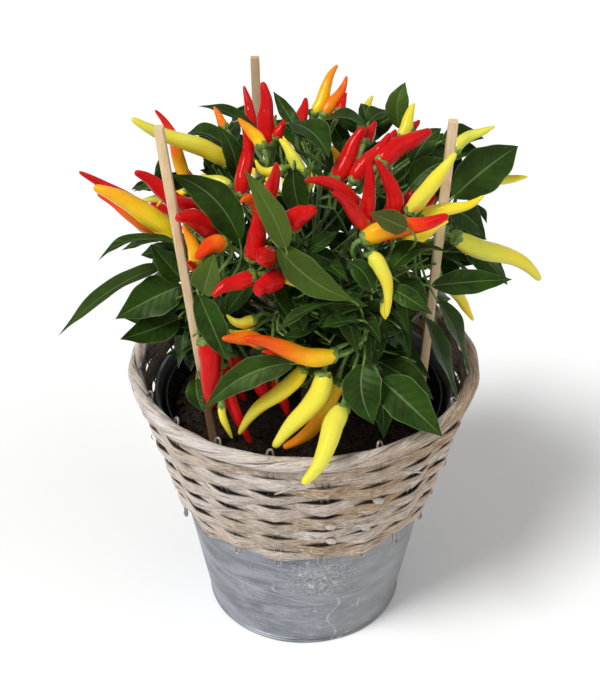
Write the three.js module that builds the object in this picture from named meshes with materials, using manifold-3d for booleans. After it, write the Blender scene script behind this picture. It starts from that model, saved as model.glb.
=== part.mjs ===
// Potted ornamental chilli pepper: a bush with upright red and yellow chillies in a black nursery pot,
// which rests in a galvanised bucket with a woven willow band and three support sticks in the soil.
// Millimetres, +Z up, the origin at the middle of the bucket's flat underside.
import * as THREE from 'three';
import { mergeVertices } from 'three/addons/utils/BufferGeometryUtils.js';
import Module from 'manifold-3d';

const wasm = await Module();
wasm.setup();

// Driving dimensions
const CLEARANCE = 0.35;
const SEGMENTS = 40;
const STAKES = 20;
const STAKE_TURN = THREE.MathUtils.degToRad(7);

const BUCKET = {
  baseRadius: 66.6,
  lipRadius: 97,
  height: 173,
  wall: 1.2,
  floor: 1.4,
  bead: 1.1,
  footBand: 4,
  lipBand: 3,
};
const BAND = {
  bottom: 92.5,
  top: 181,
  outerBottom: 87.4,
  outerTop: 111.4,
  innerBottom: 83.5,
  innerTop: 103.2,
};
const BORDER = { bottom: 181.3, top: 195, outer: 115, inner: 103.4, bevel: 3.4, twist: 0.8, twists: 10 };
const WEAVE = { rows: 6, swell: 1.1, groove: 0.6, behind: -0.5, between: 0.4 };
const WIRE = { radius: 0.9, ringRadius: 107.4, spread: 5.4, rise: 2.6 };
const LINER = { bottom: 1.8, height: 167, baseRadius: 60, rimRadius: 91.4, wall: 0.9, lip: 8 };
const SOIL = { surface: 156, lump: 2.4 };
const STICK = { width: 5.6 };
const TRUNK = { foot: [0, 3, 112], fork: [2, 0, 206], radius: 5.2, forkRadius: 3.6, limbRadius: 2.3 };
const TWIG = { radius: 1.9, tipRadius: 1.4, stalk: 1.3, knot: 2.6 };
const BLADE = { thickness: 0.8, petiole: 0.95, fold: 0.3, wave: 1.1 };
const CHILLI = { tip: 0.26, neck: 0.62 };

// Finishes: colour, roughness and metalness of each material
const FINISH = {
  zinc: [0x8e969b, 0.5, 0.8],
  willow: [0xa8998a, 0.85, 0],
  plastic: [0x141414, 0.35, 0],
  soil: [0x2a1f18, 1, 0],
  stick: [0xd9bd8d, 0.8, 0],
  stem: [0x5d7a35, 0.7, 0],
  leaf: [0x26481f, 0.45, 0],
  red: [0xc8140f, 0.2, 0],
  orange: [0xe8701a, 0.2, 0],
  yellow: [0xe6cf2c, 0.2, 0],
};

const vec = (point) => new THREE.Vector3(...point);
const UP = vec([0, 0, 1]);
const mix = THREE.MathUtils.lerp;
const OCTAHEDRON_INRADIUS = 1 / Math.sqrt(3);

// Solids: closed geometry in, joined and cut solids between, one closed body out
function toSolid(geometry) {
  geometry.deleteAttribute('normal');
  geometry.deleteAttribute('uv');
  const merged = mergeVertices(geometry, 1e-4);
  const mesh = new wasm.Mesh({
    numProp: 3,
    vertProperties: merged.attributes.position.array,
    triVerts: new Uint32Array(merged.index.array),
  });
  return new wasm.Manifold(mesh);
}

const join = (solids) => wasm.Manifold.union(solids);

function cut(solid, cutters) {
  if (cutters.length === 0) return solid;
  return solid.subtract(join(cutters));
}

// The largest connected skin of a solid, so that loose scraps and sealed hollows are dropped
function largestSkin(solid) {
  const { vertProperties, triVerts } = solid.simplify(0.1).getMesh();
  const parent = Array.from({ length: vertProperties.length / 3 }, (_, index) => index);
  const find = (index) => {
    let root = index;
    while (parent[root] !== root) {
      parent[root] = parent[parent[root]];
      root = parent[root];
    }
    return root;
  };
  for (let t = 0; t < triVerts.length; t += 3) {
    parent[find(triVerts[t])] = find(triVerts[t + 1]);
    parent[find(triVerts[t + 1])] = find(triVerts[t + 2]);
  }
  const corner = (index) => new THREE.Vector3().fromArray(vertProperties, 3 * index);
  const volumes = new Map();
  for (let t = 0; t < triVerts.length; t += 3) {
    const [a, b, c] = [corner(triVerts[t]), corner(triVerts[t + 1]), corner(triVerts[t + 2])];
    const root = find(triVerts[t]);
    volumes.set(root, (volumes.get(root) ?? 0) + a.dot(b.cross(c)) / 6);
  }
  const [main] = [...volumes.entries()].sort((one, two) => two[1] - one[1])[0];
  const kept = [];
  for (let t = 0; t < triVerts.length; t += 3) {
    if (find(triVerts[t]) === main) kept.push(triVerts[t], triVerts[t + 1], triVerts[t + 2]);
  }
  return mergeVertices(meshOf(vertProperties, kept), 1e-5);
}

function meshOf(positions, index) {
  const geometry = new THREE.BufferGeometry();
  geometry.setAttribute('position', new THREE.BufferAttribute(new Float32Array(positions), 3));
  geometry.setIndex(index);
  return geometry;
}

// The skin of a stack of closed loops, each with the same number of corners, capped at both ends
function loft(loops) {
  const count = loops[0].length;
  const index = [];
  for (let loop = 0; loop + 1 < loops.length; loop += 1) {
    for (let corner = 0; corner < count; corner += 1) {
      const next = (corner + 1) % count;
      const [a, b] = [loop * count + corner, loop * count + next];
      index.push(a, b, b + count, a, b + count, a + count);
    }
  }
  const last = (loops.length - 1) * count;
  for (let corner = 1; corner + 1 < count; corner += 1) {
    index.push(0, corner + 1, corner);
    index.push(last, last + corner, last + corner + 1);
  }
  return toSolid(meshOf(loops.flat().flatMap((corner) => corner.toArray()), index));
}

function loopAround(point, right, up, radius, sides) {
  return Array.from({ length: sides }, (_, corner) => {
    const angle = (2 * Math.PI * corner) / sides;
    return point.clone()
      .addScaledVector(right, radius * Math.cos(angle))
      .addScaledVector(up, radius * Math.sin(angle));
  });
}

// A round body through points with a radius at each, its loops carried along without a twist
function tube(points, radii, sides) {
  const last = points.length - 1;
  const tangentAt = (step) => {
    const [before, after] = [points[Math.max(step - 1, 0)], points[Math.min(step + 1, last)]];
    return after.clone().sub(before).normalize();
  };
  let right = Math.abs(tangentAt(0).z) < 0.9 ? UP : new THREE.Vector3(1, 0, 0);
  return loft(points.map((point, step) => {
    const tangent = tangentAt(step);
    right = right.clone().projectOnPlane(tangent).normalize();
    return loopAround(point, right, tangent.clone().cross(right), radii[step], sides);
  }));
}

// A tapered rod, straight between two points or bent toward the middle one of three, grown by the pad
function rod(points, startRadius, endRadius, sides, steps, pad = 0) {
  const path = points.map((point) => point.clone());
  const last = path.length - 1;
  if (pad > 0) {
    path[0].addScaledVector(path[0].clone().sub(path[1]).normalize(), pad);
    path[last].addScaledVector(path[last].clone().sub(path[last - 1]).normalize(), pad);
  }
  const curve = last === 1 ? new THREE.LineCurve3(...path) : new THREE.QuadraticBezierCurve3(...path);
  const centres = curve.getPoints(steps);
  const radii = centres.map((_, step) => mix(startRadius, endRadius, step / steps) + pad);
  return tube(centres, radii, sides);
}

function lathe(profile, segments = SEGMENTS) {
  const points = profile.map(([radius, height]) => new THREE.Vector2(radius, height));
  return new THREE.LatheGeometry(points, segments).rotateX(Math.PI / 2);
}

// Bucket: a flaring sheet shell with a flat underside, a foot bead and a rolled lip
const bucketRadius = (height) => mix(BUCKET.baseRadius, BUCKET.lipRadius, height / BUCKET.height);

function bucket() {
  const { baseRadius, lipRadius, height, wall, floor, bead, footBand, lipBand } = BUCKET;
  const profile = [
    [0, 0],
    [baseRadius, 0],
    [baseRadius + bead, 0.8],
    [baseRadius + bead, footBand - 1],
    [bucketRadius(footBand), footBand],
    [bucketRadius(height - lipBand), height - lipBand],
    [lipRadius + bead, height - 2.4],
    [lipRadius + bead, height - 0.6],
    [lipRadius - wall, height - 1],
    [bucketRadius(floor + 1) - wall, floor],
    [0, floor],
  ];
  return toSolid(lathe(profile));
}

// A ring whose rows of [radius, height] depend on the column round it, turned with the stakes
function ring(rowsAt, columns) {
  const positions = [];
  const index = [];
  const count = rowsAt(0).length;
  for (let column = 0; column < columns; column += 1) {
    const angle = STAKE_TURN + (2 * Math.PI * column) / columns;
    for (const [radius, height] of rowsAt(column)) {
      positions.push(radius * Math.cos(angle), radius * Math.sin(angle), height);
    }
  }
  for (let column = 0; column < columns; column += 1) {
    const next = (column + 1) % columns;
    for (let row = 0; row < count; row += 1) {
      const above = (row + 1) % count;
      const [a, b] = [column * count + row, next * count + row];
      const [c, d] = [next * count + above, column * count + above];
      index.push(a, b, c, a, c, d);
    }
  }
  return meshOf(positions, index);
}

const bandOuter = (height) => {
  const share = (height - BAND.bottom) / (BAND.top - BAND.bottom);
  return mix(BAND.outerBottom, BAND.outerTop, share);
};
const bandInner = (height) => {
  const share = (height - BAND.bottom) / (BAND.top - BAND.bottom);
  return mix(BAND.innerBottom, BAND.innerTop, share);
};

// Willow band: each row of strands swells over every other stake and sinks behind the next
function willowBand() {
  const pitch = (BAND.top - BAND.bottom) / WEAVE.rows;
  const rowsAt = (column) => {
    const rows = [[bandOuter(BAND.bottom) - WEAVE.groove, BAND.bottom]];
    for (let row = 0; row < WEAVE.rows; row += 1) {
      const over = (column / 2 + row) % 2 === 0 ? 1 : WEAVE.behind;
      const swell = column % 2 === 0 ? WEAVE.swell * over : WEAVE.swell * WEAVE.between;
      const middle = BAND.bottom + (row + 0.5) * pitch;
      rows.push([bandOuter(middle) + swell, middle]);
      const edge = BAND.bottom + (row + 1) * pitch;
      rows.push([bandOuter(edge) - WEAVE.groove, edge]);
    }
    for (const height of [BAND.top, BAND.bottom]) rows.push([bandInner(height), height]);
    return rows;
  };
  return toSolid(ring(rowsAt, SEGMENTS));
}

// Border: two thick strips twisted round each other along the rim, with the bend of each wire stake over it
function willowBorder() {
  const { bottom, top, outer, inner, bevel, twist, twists } = BORDER;
  const rowsAt = (column) => {
    const swing = twist * Math.sin((2 * Math.PI * twists * column) / SEGMENTS);
    return [
      [outer - bevel, bottom],
      [outer - twist + swing, bottom + bevel],
      [outer - twist - swing, top - bevel],
      [outer - bevel, top],
      [inner + 1.6, top],
      [inner, bottom],
    ];
  };
  const angles = Array.from({ length: STAKES }, (_, stake) => STAKE_TURN + (2 * Math.PI * stake) / STAKES);
  const bends = angles.map(stakeBend);
  return join([toSolid(ring(rowsAt, SEGMENTS)), ...bends]);
}

// The bend of one hairpin stake: out of the border, along it and back in
function stakeBend(angle) {
  const { radius, ringRadius, spread, rise } = WIRE;
  const turn = (share) => angle + (share * spread) / (2 * ringRadius);
  const at = (share, height) => new THREE.Vector3(
    ringRadius * Math.cos(turn(share)),
    ringRadius * Math.sin(turn(share)),
    height,
  );
  const points = [at(-1, BORDER.top - 2), at(0, BORDER.top + rise), at(1, BORDER.top - 2)];
  return tube(points, [radius, radius, radius], 3);
}

// Nursery pot: a thin tapered shell with a turned-out lip
const linerOuter = (height) => {
  const share = (height - LINER.bottom) / (LINER.height - LINER.lip - LINER.bottom);
  return mix(LINER.baseRadius, LINER.rimRadius - 3, share);
};

function nurseryPot() {
  const { bottom, height, baseRadius, rimRadius, wall, lip } = LINER;
  const profile = [
    [0, bottom],
    [baseRadius, bottom],
    [linerOuter(height - lip), height - lip],
    [rimRadius, height - lip + 0.6],
    [rimRadius, height - 0.8],
    [rimRadius - 1.6, height],
    [linerOuter(height - lip) - wall, height - lip - 1],
    [linerOuter(bottom + wall) - wall, bottom + wall],
    [0, bottom + wall],
  ];
  return toSolid(lathe(profile));
}

// Soil: fills the nursery pot, its surface uneven by a sum of two waves
const soilRadius = (height) => linerOuter(height) - LINER.wall - CLEARANCE;

const soilHeight = (x, y) => {
  const wave = Math.sin(x * 0.21 + 1) * Math.cos(y * 0.17) + 0.6 * Math.sin(x * 0.09 - y * 0.13);
  return SOIL.surface + SOIL.lump * wave;
};

function soil(cutters) {
  const bottom = LINER.bottom + LINER.wall + CLEARANCE;
  const edge = SOIL.surface - 3;
  const profile = [
    [0, bottom],
    [soilRadius(bottom), bottom],
    [soilRadius(edge), edge],
    [45, SOIL.surface],
    [0, SOIL.surface],
  ];
  const geometry = lathe(profile);
  const position = geometry.attributes.position;
  for (let index = 0; index < position.count; index += 1) {
    const [x, y] = [position.getX(index), position.getY(index)];
    if (position.getZ(index) > edge + 1) position.setZ(index, soilHeight(x, y));
  }
  return cut(toSolid(geometry), cutters);
}

// Support sticks: split wood, square with worn corners, from a foot in the soil to a sawn top
const STICKS = [
  { name: 'support_stick_left', top: [-78, -60, 380], foot: [-51.6, -48.7, 110] },
  { name: 'support_stick_right', top: [82, -41, 375], foot: [71.3, -22, 120] },
  { name: 'support_stick_back', top: [-30, 53, 375], foot: [-24.2, 46, 76] },
];

function stick({ top, foot }, pad = 0) {
  const half = STICK.width / 2 + pad;
  const worn = 0.9;
  const outline = new THREE.Shape([
    [half, -half + worn], [half, half - worn], [half - worn, half], [-half + worn, half],
    [-half, half - worn], [-half, -half + worn], [-half + worn, -half], [half - worn, -half],
  ].map(([x, y]) => new THREE.Vector2(x, y)));
  const [start, end] = [vec(foot), vec(top)];
  const along = end.clone().sub(start);
  const depth = along.length() + 2 * pad;
  const geometry = new THREE.ExtrudeGeometry(outline, { depth, bevelEnabled: false });
  geometry.translate(0, 0, -pad);
  geometry.applyQuaternion(new THREE.Quaternion().setFromUnitVectors(UP, along.normalize()));
  geometry.translate(...foot);
  return toSolid(geometry);
}

// Chillies: a round profile swept from the calyx to a blunt tip, its middle drawn aside by the bow
const chilliShape = (along) => {
  const shoulder = mix(CHILLI.neck, 1, Math.min(1, along / 0.22));
  const taper = mix(1, CHILLI.tip, Math.max(0, (along - 0.22) / 0.78) ** 1.7);
  return shoulder * taper;
};

function bowedCurve(base, tip, bow, pad = 0) {
  const [start, end] = [vec(base), vec(tip)];
  const along = end.clone().sub(start).normalize();
  const control = start.clone().add(end).multiplyScalar(0.5).addScaledVector(vec(bow), 2);
  start.addScaledVector(along, -pad);
  end.addScaledVector(along, pad);
  return new THREE.QuadraticBezierCurve3(start, control, end);
}

function chilli([base, tip, girth, bow = [0, 0, 0]], knot, pad) {
  const curve = bowedCurve(base, tip, bow, pad);
  const shares = girth > 8 ? [0.22, 0.62, 1] : [0.35, 1];
  const neck = vec(knot).lerp(vec(base), 0.92);
  const centres = [vec(knot), neck, ...shares.map((share) => curve.getPoint(share))];
  const flesh = shares.map((share) => (girth / 2) * chilliShape(share) + pad);
  return tube(centres, [TWIG.stalk * 0.8 + pad, TWIG.stalk + pad, ...flesh], 5);
}

function bunch({ knot, chillies }, pad = 0) {
  const boss = toSolid(new THREE.OctahedronGeometry(TWIG.knot + pad, 0).translate(...knot));
  return join([boss, ...chillies.map((entry) => chilli(entry, knot, pad))]);
}

// Leaves: a pointed blade, folded along its midrib and waved at both edges, on a short petiole
const FACES = {
  up: [0, 0, 1],
  front: [0, -0.8, 0.6],
  left: [-0.75, -0.3, 0.6],
  right: [0.75, -0.3, 0.6],
  back: [0, 0.8, 0.6],
};
const bladeShape = (along) => 3.58 * along ** 0.75 * (1 - along) ** 1.15;
const bladeLift = (along, side, half) => {
  const wave = BLADE.wave * Math.sin(9 * along + 1.7 * side);
  return BLADE.fold * half + (half > 2 ? wave : 0);
};

// The corners that a row of one, two or three columns gives to three upper and three lower places
const CORNERS = { 1: [0, 0, 0, 1, 1, 1], 2: [0, 0, 1, 2, 2, 3], 3: [0, 1, 2, 3, 4, 5] };

function leaf([base, tip, width, bow = [0, 0, 0], face = 'front'], root, pad) {
  const curve = bowedCurve(base, tip, bow);
  const facing = typeof face === 'string' ? vec(FACES[face]) : vec(face);
  const side = vec(tip).sub(vec(base)).cross(facing).normalize();
  const thick = BLADE.thickness / 2 + pad;
  const positions = [];
  const station = (columns, point, tangent, half, along) => {
    const normal = side.clone().cross(tangent).normalize();
    const first = positions.length / 3;
    for (const layer of [1, -1]) {
      for (const across of columns) {
        const lift = columns.length < 3 || across === 0 ? 0 : bladeLift(along, across, half);
        const corner = point.clone()
          .addScaledVector(side, across * half)
          .addScaledVector(normal, lift + layer * thick);
        positions.push(corner.x, corner.y, corner.z);
      }
    }
    return CORNERS[columns.length].map((offset) => first + offset);
  };
  const petiole = curve.getPoint(0).sub(root).normalize();
  const narrow = BLADE.petiole + pad;
  const rows = [
    station([-1, 1], root.clone().addScaledVector(petiole, -pad), petiole, narrow, 0),
    station([-1, 1], curve.getPoint(0), curve.getTangent(0), narrow, 0),
  ];
  for (const along of width > 16.5 ? [0.18, 0.4, 0.66] : [0.28, 0.64]) {
    const half = (width / 2) * bladeShape(along) + pad;
    rows.push(station([-1, 0, 1], curve.getPoint(along), curve.getTangent(along), half, along));
  }
  const end = curve.getPoint(1).addScaledVector(curve.getTangent(1), pad);
  rows.push(station([0], end, curve.getTangent(1), 0, 1));
  return toSolid(strip(rows, positions));
}

// The closed skin of a strip whose rows hold three upper and three lower corners
function strip(rows, positions) {
  const index = [];
  const triangle = (a, b, c) => {
    if (a !== b && b !== c && c !== a) index.push(a, b, c);
  };
  for (let row = 0; row + 1 < rows.length; row += 1) {
    const [near, far] = [rows[row], rows[row + 1]];
    for (const [left, right] of [[0, 1], [1, 2]]) {
      triangle(near[left], near[right], far[right]);
      triangle(near[left], far[right], far[left]);
      triangle(near[left + 3], far[right + 3], near[right + 3]);
      triangle(near[left + 3], far[left + 3], far[right + 3]);
    }
    triangle(near[0], far[0], far[3]);
    triangle(near[0], far[3], near[3]);
    triangle(near[2], far[5], far[2]);
    triangle(near[2], near[5], far[5]);
  }
  const root = rows[0];
  triangle(root[0], root[5], root[2]);
  triangle(root[0], root[3], root[5]);
  return meshOf(positions, index);
}

function nearestOnBranch(branch, target) {
  const points = new THREE.QuadraticBezierCurve3(...branch).getPoints(24);
  return points.reduce((best, point) => (point.distanceTo(target) < best.distanceTo(target) ? point : best));
}

// A shoot: its branch, a twig to each of its bunches and its leaves
function shoot({ branch, leaves }, knots, pad = 0) {
  const path = branch.map(vec);
  path[0].addScaledVector(path[1].clone().sub(path[0]).normalize(), CLEARANCE);
  const stem = rod(path, TWIG.radius, TWIG.tipRadius, 4, 2, pad);
  const twigs = knots.map((knot) => {
    const root = nearestOnBranch(path, vec(knot));
    const inward = root.clone().sub(vec(knot)).normalize();
    const end = vec(knot).addScaledVector(inward, TWIG.knot * OCTAHEDRON_INRADIUS + CLEARANCE);
    return rod([root, end], TWIG.tipRadius, TWIG.tipRadius * 0.8, 3, 1, pad);
  });
  const blades = leaves.map((entry) => leaf(entry, nearestOnBranch(path, vec(entry[0])), pad));
  return join([stem, ...twigs, ...blades]);
}

// Main stem: a trunk out of the soil that forks into a limb for each shoot
function mainStem(shoots, pad = 0) {
  const [foot, fork] = [vec(TRUNK.foot), vec(TRUNK.fork)];
  const bend = foot.clone().lerp(fork, 0.55).add(vec([3, -2, 0]));
  const trunk = rod([foot, bend, fork], TRUNK.radius, TRUNK.forkRadius, 7, 3, pad);
  const limbs = shoots.map(({ branch }) => {
    const end = vec(branch[0]);
    const start = foot.clone().lerp(fork, 0.86);
    const onward = vec(branch[1]).sub(end).normalize();
    const middle = end.clone().addScaledVector(onward, -0.4 * end.distanceTo(start));
    return rod([start, middle, end], TRUNK.forkRadius * 0.8, TRUNK.limbRadius, 3, 2, pad);
  });
  return join([trunk, ...limbs]);
}

// Shoots as seen from the front, with leaves as [base, tip, width, bow, face]
const FRONT_SHOOTS = [
  {
    name: 'leafy_shoot_left',
    branch: [[-24, -14, 238], [-42, -24, 262], [-56, -26, 284]],
    leaves: [
      [[-73, -54, 306], [-118, -58, 296], 11, [-3, 4, 5.5], 'up'],
      [[-83, -40, 282], [-150, -40, 233], 15, [1, 2, 7], 'left'],
      [[-71, -46, 276], [-88, -50, 303], 15, [0, 1, -1], 'front'],
      [[-72, -43, 271], [-111, -58, 257], 24, [1, 3, 0.5], 'front'],
      [[-74, -44, 249], [-107, -72, 252], 19, [-0.5, 5, -4], 'front'],
      [[-82, -2, 312], [-104, 8, 307], 12, [0, 1, 2], 'up'],
      [[-82, 4, 311], [-87, 12, 328], 10, [-1, 0, 0], 'front'],
    ],
  },
  {
    name: 'leafy_shoot_left_front',
    branch: [[-20, -24, 228], [-36, -42, 252], [-46, -54, 278]],
    leaves: [
      [[-36, -58, 308], [-74, -50, 347], 21, [4.5, 2, 5.5], 'front'],
      [[-57, -80, 288], [-49, -84, 316], 17, [0, -2, 0], 'front'],
      [[-60, -78, 288], [-44, -96, 254], 16, [1, -1, -2], 'front'],
      [[-65, -60, 216], [-60, -78, 204], 13, [-1.5, -1, 0.5], 'front'],
    ],
  },
  {
    name: 'leafy_shoot_upper_left',
    branch: [[-14, -6, 250], [-24, -12, 284], [-32, -16, 312]],
    leaves: [
      [[-44, -10, 344], [-69, -2, 349], 19, [-1, 2, 4], 'up'],
      [[-39, -28, 333], [-49, -26, 366], 12, [3.5, -2, 2], 'front'],
      [[-24, 2, 339], [-63, 14, 360], 13, [3, 4, 4.5], 'up'],
    ],
  },
  {
    name: 'leafy_shoot_top',
    branch: [[-4, -14, 252], [-6, -28, 284], [-4, -36, 312]],
    leaves: [
      [[0, -16, 352], [-18, 8, 372], 9, [-1, 1, 1], 'front'],
      [[-7, -14, 362], [14, -44, 354], 20, [2, 1, 3], 'up'],
      [[-6, -30, 352], [13, -52, 352], 9, [0, 0, 1], 'back'],
      [[-6, -54, 353], [2, -60, 318], 15, [-2.5, 1, 0.5], 'front'],
    ],
  },
  {
    name: 'leafy_shoot_front',
    branch: [[-2, -28, 226], [-6, -50, 254], [-10, -62, 278]],
    leaves: [
      [[-10, -84, 319], [-32, -80, 365], 14, [3, -2, -0.5], 'front'],
      [[-15, -82, 320], [28, -88, 288], 18, [-2.5, -2, -3], 'front'],
      [[-12, -80, 260], [5, -84, 266], 11, [0, -1, -2], 'up'],
    ],
  },
  {
    name: 'leafy_shoot_back_top',
    branch: [[5, 8, 254], [8, 8, 288], [10, 4, 318]],
    leaves: [
      [[8, 4, 354], [36, -18, 360], 16, [1, 2, 4], 'up'],
      [[38, 12, 350], [52, 22, 352], 13, [0, 1, 3], 'up'],
    ],
  },
  {
    name: 'leafy_shoot_right_top',
    branch: [[14, -4, 252], [30, -8, 284], [40, -10, 316]],
    leaves: [
      [[57, 12, 346], [60, 24, 371], 14, [-3.5, -2, 2.5], 'front'],
      [[62, -20, 338], [80, -2, 353], 14, [-1, 1, 3], 'front'],
      [[60, -30, 328], [84, -22, 342], 16, [-1, 1, 3], 'front'],
    ],
  },
  {
    name: 'leafy_shoot_right_front',
    branch: [[14, -24, 236], [32, -44, 262], [42, -56, 290]],
    leaves: [
      [[56, -80, 329], [35, -82, 340], 13, [0.5, 0, 0], 'front'],
      [[38, -78, 289], [23, -74, 305], 13, [1.5, -2, 4.5], 'front'],
      [[47, -78, 299], [80, -68, 308], 18, [-2.5, 2, 6.5], 'up'],
      [[53, -70, 290], [70, -78, 277], 17, [0, 0, 0], 'front'],
      [[48, -84, 294], [71, -96, 284], 11, [-1, 0, 1.5], 'front'],
    ],
  },
  {
    name: 'leafy_shoot_right',
    branch: [[22, -4, 238], [46, -16, 266], [68, -22, 288]],
    leaves: [
      [[73, -60, 281], [122, -46, 277], 15, [0, 1, 0], 'front'],
      [[84, -32, 288], [123, -16, 261], 14, [2, 2, 4], 'up'],
      [[86, -26, 320], [127, 6, 338], 26, [1, 0, 3], 'front'],
      [[85, -26, 312], [109, -16, 288], 17, [0, 1, 4], 'front'],
      [[90, -8, 316], [112, 2, 288], 14, [1, 0, 2], 'up'],
      [[76, -62, 274], [96, -70, 229], 18, [2.5, 0, 0.5], 'right'],
      [[71, -54, 257], [93, -64, 203], 18, [0.5, -1, -0.5], 'right'],
    ],
  },
  {
    name: 'leafy_shoot_front_low',
    branch: [[12, -34, 214], [24, -56, 234], [34, -70, 250]],
    leaves: [
      [[19, -88, 289], [-16, -104, 276], 9, [-2, 1, 2.5], 'up'],
      [[31, -86, 274], [9, -98, 277], 12, [0, 0, 1], 'up'],
      [[34, -88, 246], [40, -108, 217], 23, [-4, -2, 1.5], 'front'],
      [[44, -86, 234], [79, -114, 213], 24, [-1, -2, 3], 'front'],
      [[44, -76, 228], [47, -92, 195], 13, [1, 0, 0], 'front'],
      [[46, -58, 226], [78, -68, 206], 18, [0, 0, 2], 'front'],
      [[-6, -94, 250], [-58, -102, 223], 17, [-1.5, 2, 6.5], 'front'],
    ],
  },
];

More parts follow.
